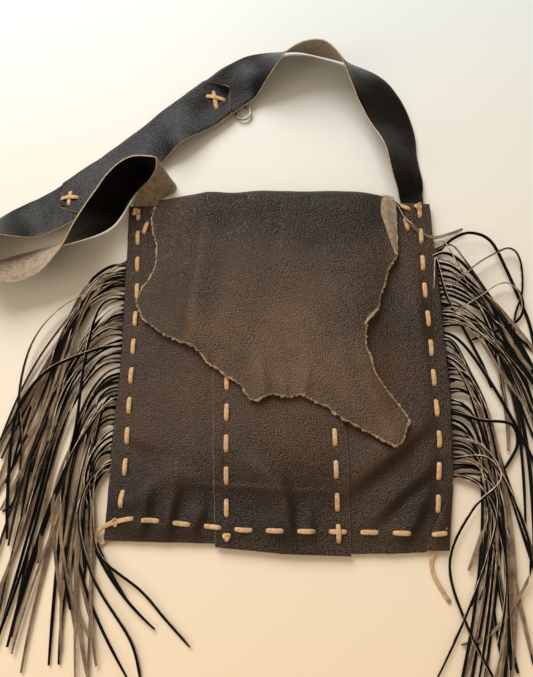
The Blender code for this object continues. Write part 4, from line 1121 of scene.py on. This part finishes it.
def lay_thong(path, lifts, twist, width):
    """A copy of the flat thong, laid along path with the heights and the twist at each share."""
    piece = bpy.data.objects.new("thong", flat_thong.data.copy())
    bpy.context.collection.objects.link(piece)
    spots = [Vector((*path(i / THONG_ROWS), 0.0)) for i in range(THONG_ROWS + 1)]
    for vert in piece.data.vertices:
        i = round(vert.co.y * THONG_ROWS)
        t = i / THONG_ROWS
        run = (spots[min(i + 1, THONG_ROWS)] - spots[max(i - 1, 0)]).normalized()
        side = Vector((run.y, -run.x, 0))
        angle = twist(t)
        wide = side * math.cos(angle) + Vector((0, 0, 1)) * math.sin(angle)
        deep = wide.cross(run)
        taper = 1.0 - TIP_NARROWS * max(0.0, t - TIP_FROM) / (1 - TIP_FROM)
        spot = spots[i] + wide * vert.co.x * width * taper + deep * (vert.co.z + 0.5) * THONG_THICK
        spot.z += lifts(t) + abs(math.sin(angle)) * width / 2
        vert.co = spot * MM
    return piece


def bezier(points, t):
    a, b, c, d = (Vector(p) for p in points)
    return a * (1 - t) ** 3 + b * 3 * t * (1 - t) ** 2 + c * 3 * t * t * (1 - t) + d * t ** 3


def smooth_route(points, t):
    """A point at share t along a smooth route through points."""
    at = t * (len(points) - 1)
    i = min(int(at), len(points) - 2)
    columns = list(zip(*points))
    return [through(column, i, at - i) for column in columns]


# %% Bundles and strays
# Each bundle is a list of curves (root, first pull, second pull, end) from its top thong to its lowest.
# Each stray is a thong that lies apart, with the places that it runs through.
LEFT_BUNDLE = [
    [(-139.5, 96), (-178, 97), (-210, 22), (-236, -118)],
    [(-137.5, 48), (-184, 54), (-210, -46), (-232, -172)],
    [(-136.5, 4), (-178, 8), (-196, -92), (-206, -226)],
    [(-136.5, -6), (-170, -4), (-184, -100), (-176, -240)],
    [(-137.5, -48), (-166, -40), (-178, -130), (-160, -250)],
    [(-138.5, -93), (-156, -86), (-168, -146), (-126, -226)],
]
RIGHT_BUNDLE = [
    [(142.5, 97), (178, 94), (206, 40), (240, -48)],
    [(145.5, 66), (176, 68), (208, 12), (240, -92)],
    [(146.5, 30), (184, 34), (206, -14), (232, -150)],
    [(147.0, 22), (176, 22), (188, -56), (214, -232)],
    [(147.0, -18), (186, -14), (174, -108), (192, -262)],
    [(146.5, -55), (188, -50), (168, -120), (164, -262)],
    [(145.5, -94), (182, -82), (196, -124), (136, -230)],
]
LEFT_STRAYS = [
    [(-136, 75), (-166, 66), (-197, 47), (-218, 16), (-225, -29), (-218, -77), (-220, -118), (-229, -128)],
    [(-134, 16), (-161, 10), (-200, -8), (-222, -38), (-227, -68), (-226, -110), (-222, -150)],
    [(-136, -84), (-150, -99), (-148, -141), (-139, -164), (-107, -187), (-86, -208), (-65, -228)],
    [(-136, 87), (-162, 73), (-181, 30), (-198, -33), (-217, -94), (-231, -127)],
    [(-137, -88), (-154, -99), (-161, -134), (-145, -180), (-113, -224), (-103, -252)],
    [(-136, 60), (-158, 50), (-168, 0), (-172, -60), (-186, -120), (-172, -196)],
]
RIGHT_STRAYS = [
    [(136, 108), (148, 112), (154, 105), (165, 82), (179, 49), (189, 13), (193, -18), (195, -36)],
    [(142, 100), (159, 115), (175, 120), (192, 112), (204, 86), (214, 58), (223, 31), (230, -20)],
    [(140, 104), (156, 108), (166, 96), (182, 70), (202, 36), (222, -4), (236, -40)],
    [(144, 60), (173, 86), (191, 98), (208, 105), (217, 94), (217, 67), (208, 40), (206, 0)],
    [(138, 98), (152, 100), (168, 88), (190, 56), (208, 26), (230, 8)],
    [(146, 40), (175, 58), (198, 72), (211, 67), (216, 53), (211, 40), (195, 31), (170, 22)],
    [(147, -40), (170, -48), (196, -51), (201, -68), (189, -88)],
    [(146, -80), (176, -80), (196, -120), (203, -158), (191, -187), (168, -213), (146, -221)],
    [(146, -60), (172, -70), (184, -95), (160, -120), (140, -160), (150, -205), (178, -262)],
    [(140, 60), (142, 96), (150, 60), (164, 30), (178, 0), (184, -20)],
]


# One thong lies over the top corner, in front of the laces
CORNER_STRAY = [(104, 152), (111, 146), (120, 129), (139, 117), (157, 121), (169, 126)]
EASE_FROM, EASE_ROOM, LOWEST = 208, 26, -276.0


def kept_in(x, y):
    """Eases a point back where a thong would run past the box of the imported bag."""
    if x > EASE_FROM:
        x = EASE_FROM + EASE_ROOM * math.tanh((x - EASE_FROM) / EASE_ROOM)
    return x, max(y, LOWEST)


# %% How one thong turns, rises and curls
def thong(dice, path, layer, flipped, root=None):
    """One thong along path, at the height root at its seam and at the height layer on its way.

    flipped is the chance that it turns over on its way and shows its suede.
    """
    flip = math.pi * (dice.random() < flipped)
    turn_at, turn_span = dice.uniform(0.1, 0.6), dice.uniform(0.1, 0.35)
    lean, sway = dice.uniform(0.6, 1.3) * dice.choice((-1, 1)), dice.uniform(0.1, 0.5)
    phase = dice.uniform(0, 6.28)
    root = root or dice.uniform(2.1, 3.3)
    end_lift = dice.uniform(0.7, 2.6)

    def twist(t):
        tilt = (lean + sway * math.sin(5 * t + phase)) * ease(0.0, 0.08, t)
        return flip * ease(turn_at, turn_at + turn_span, t) + tilt * (1 - 0.65 * ease(0.25, 0.6, t))

    def lifts(t):
        return mix(root, mix(layer, end_lift, ease(0.25, 0.9, t)), ease(0.0, 0.14, t))

    return lay_thong(path, lifts, twist, THONG_WIDTH * dice.uniform(0.8, 1.1))


def curve_at(curves, root_y):
    """A bundle's curve for a root at a height on the seam, from the curves above and below it."""
    for upper, lower in zip(curves, curves[1:]):
        if root_y >= lower[0][1] or lower is curves[-1]:
            share = (upper[0][1] - root_y) / (upper[0][1] - lower[0][1])
            return [[mix(p, q, share) for p, q in zip(a, b)] for a, b in zip(upper, lower)]


# For each point after the root: how far it leans towards its clump, and how far it strays by itself
CLUMP_PULLS = [(0.5, 3.0), (0.3, 8.0), (0.0, 19.0)]


def clump_path(dice, curves, root_x, root_y, centre_y, pushes):
    """The path of a thong that leans towards the middle of its clump, waves, and curls at its end."""
    points, middle = curve_at(curves, root_y), curve_at(curves, centre_y)
    points[0][0] = root_x
    for j, (pull, stray) in enumerate(CLUMP_PULLS, 1):
        points[j] = [mix(value, to, pull) + push + dice.gauss(0, stray)
                     for value, to, push in zip(points[j], middle[j], pushes[j - 1])]
    wave, length, phase = dice.uniform(0.8, 4.2), dice.uniform(4, 10), dice.uniform(0, 6.28)
    curl, cut = dice.gauss(0, 11), 1.0 if dice.random() < 0.45 else dice.uniform(0.72, 1.0)

    def path(t):
        t *= cut
        spot = bezier(points, t)
        ahead = (bezier(points, min(t + 0.01, 1.0)) - bezier(points, max(t - 0.01, 0.0))).normalized()
        shift = wave * math.sin(length * t + phase) * ease(0.08, 0.5, t)
        shift += curl * max(0.0, t - 0.55) ** 2 / 0.2
        return kept_in(spot.x + ahead.y * shift, spot.y - ahead.x * shift)

    return path


# %% Lay the fringes
# Thongs of the strip itself, and more that lie on top of them
STRIP_COUNT, TOP_COUNT = 46, 12


def bundle(name, curves, strays, seed, node_name, edge, flipped):
    """All the thongs of one side, with the header strip that they are cut from."""
    dice = random.Random(seed)
    side = -1 if edge[0][1] < 0 else 1
    high, low = curves[0][0][1], curves[-1][0][1]
    made, left_in_clump = [], 0
    for n in range(STRIP_COUNT + TOP_COUNT):
        on_top = n >= STRIP_COUNT
        if left_in_clump == 0:
            left_in_clump = dice.choice((3, 4, 5, 6))
            first = dice.uniform(0, STRIP_COUNT - 6) if on_top else n
            centre_y = mix(high, low, min((first + left_in_clump / 2) / STRIP_COUNT, 1.0))
            pushes = [(dice.gauss(0, 5), dice.gauss(0, 5)), (dice.gauss(0, 8), dice.gauss(0, 8)),
                      (dice.gauss(0, 9), dice.gauss(0, 14))]
        place = first + dice.uniform(0, 5) if on_top else n + dice.uniform(-0.2, 0.2)
        share = min(max(place / (STRIP_COUNT - 1), 0.0), 1.0)
        layer = 1.4 + 4.6 * (1 - share) + 1.5 * on_top + dice.uniform(-0.4, 0.8)
        root_y = mix(high, low, share)
        root_x = along(edge, root_y) - side * 2.0
        path = clump_path(dice, curves, root_x, root_y, centre_y, pushes)
        made.append(thong(dice, path, layer, flipped))
        left_in_clump -= 1
    for n, points in enumerate(strays):
        layer = dice.uniform(6.5, 8.5)
        made.append(thong(dice, lambda t, points=points: kept_in(*smooth_route(points, t)), layer,
                          flipped * (n % 2)))
    if side > 0:
        made.append(thong(dice, lambda t: smooth_route(CORNER_STRAY, t), 9.4, flipped, 8.8))

    def lay_header(u, y):
        return along(edge, y) - side * mix(16.0, -1.2, u), y, 3.9

    across = [0.0, 1.0] if side > 0 else [1.0, 0.0]
    header = grid("header", across, spread(-95.0, 97.0, 8.0), lay_header, flat_layer)
    thicken(header, FRINGE, 1.1, 0)
    piece = join(made + [header], name)
    bpy.ops.object.shade_smooth_by_angle(angle=math.radians(50))
    finish_piece(piece, (node_name,))


bundle("fringe_bundle_left", LEFT_BUNDLE, LEFT_STRAYS, 11, "fringe_left", LEFT_EDGE, 0.6)
bundle("fringe_bundle_right", RIGHT_BUNDLE, RIGHT_STRAYS, 23, "fringe_right", RIGHT_EDGE, 0.34)
bpy.data.objects.remove(flat_thong)
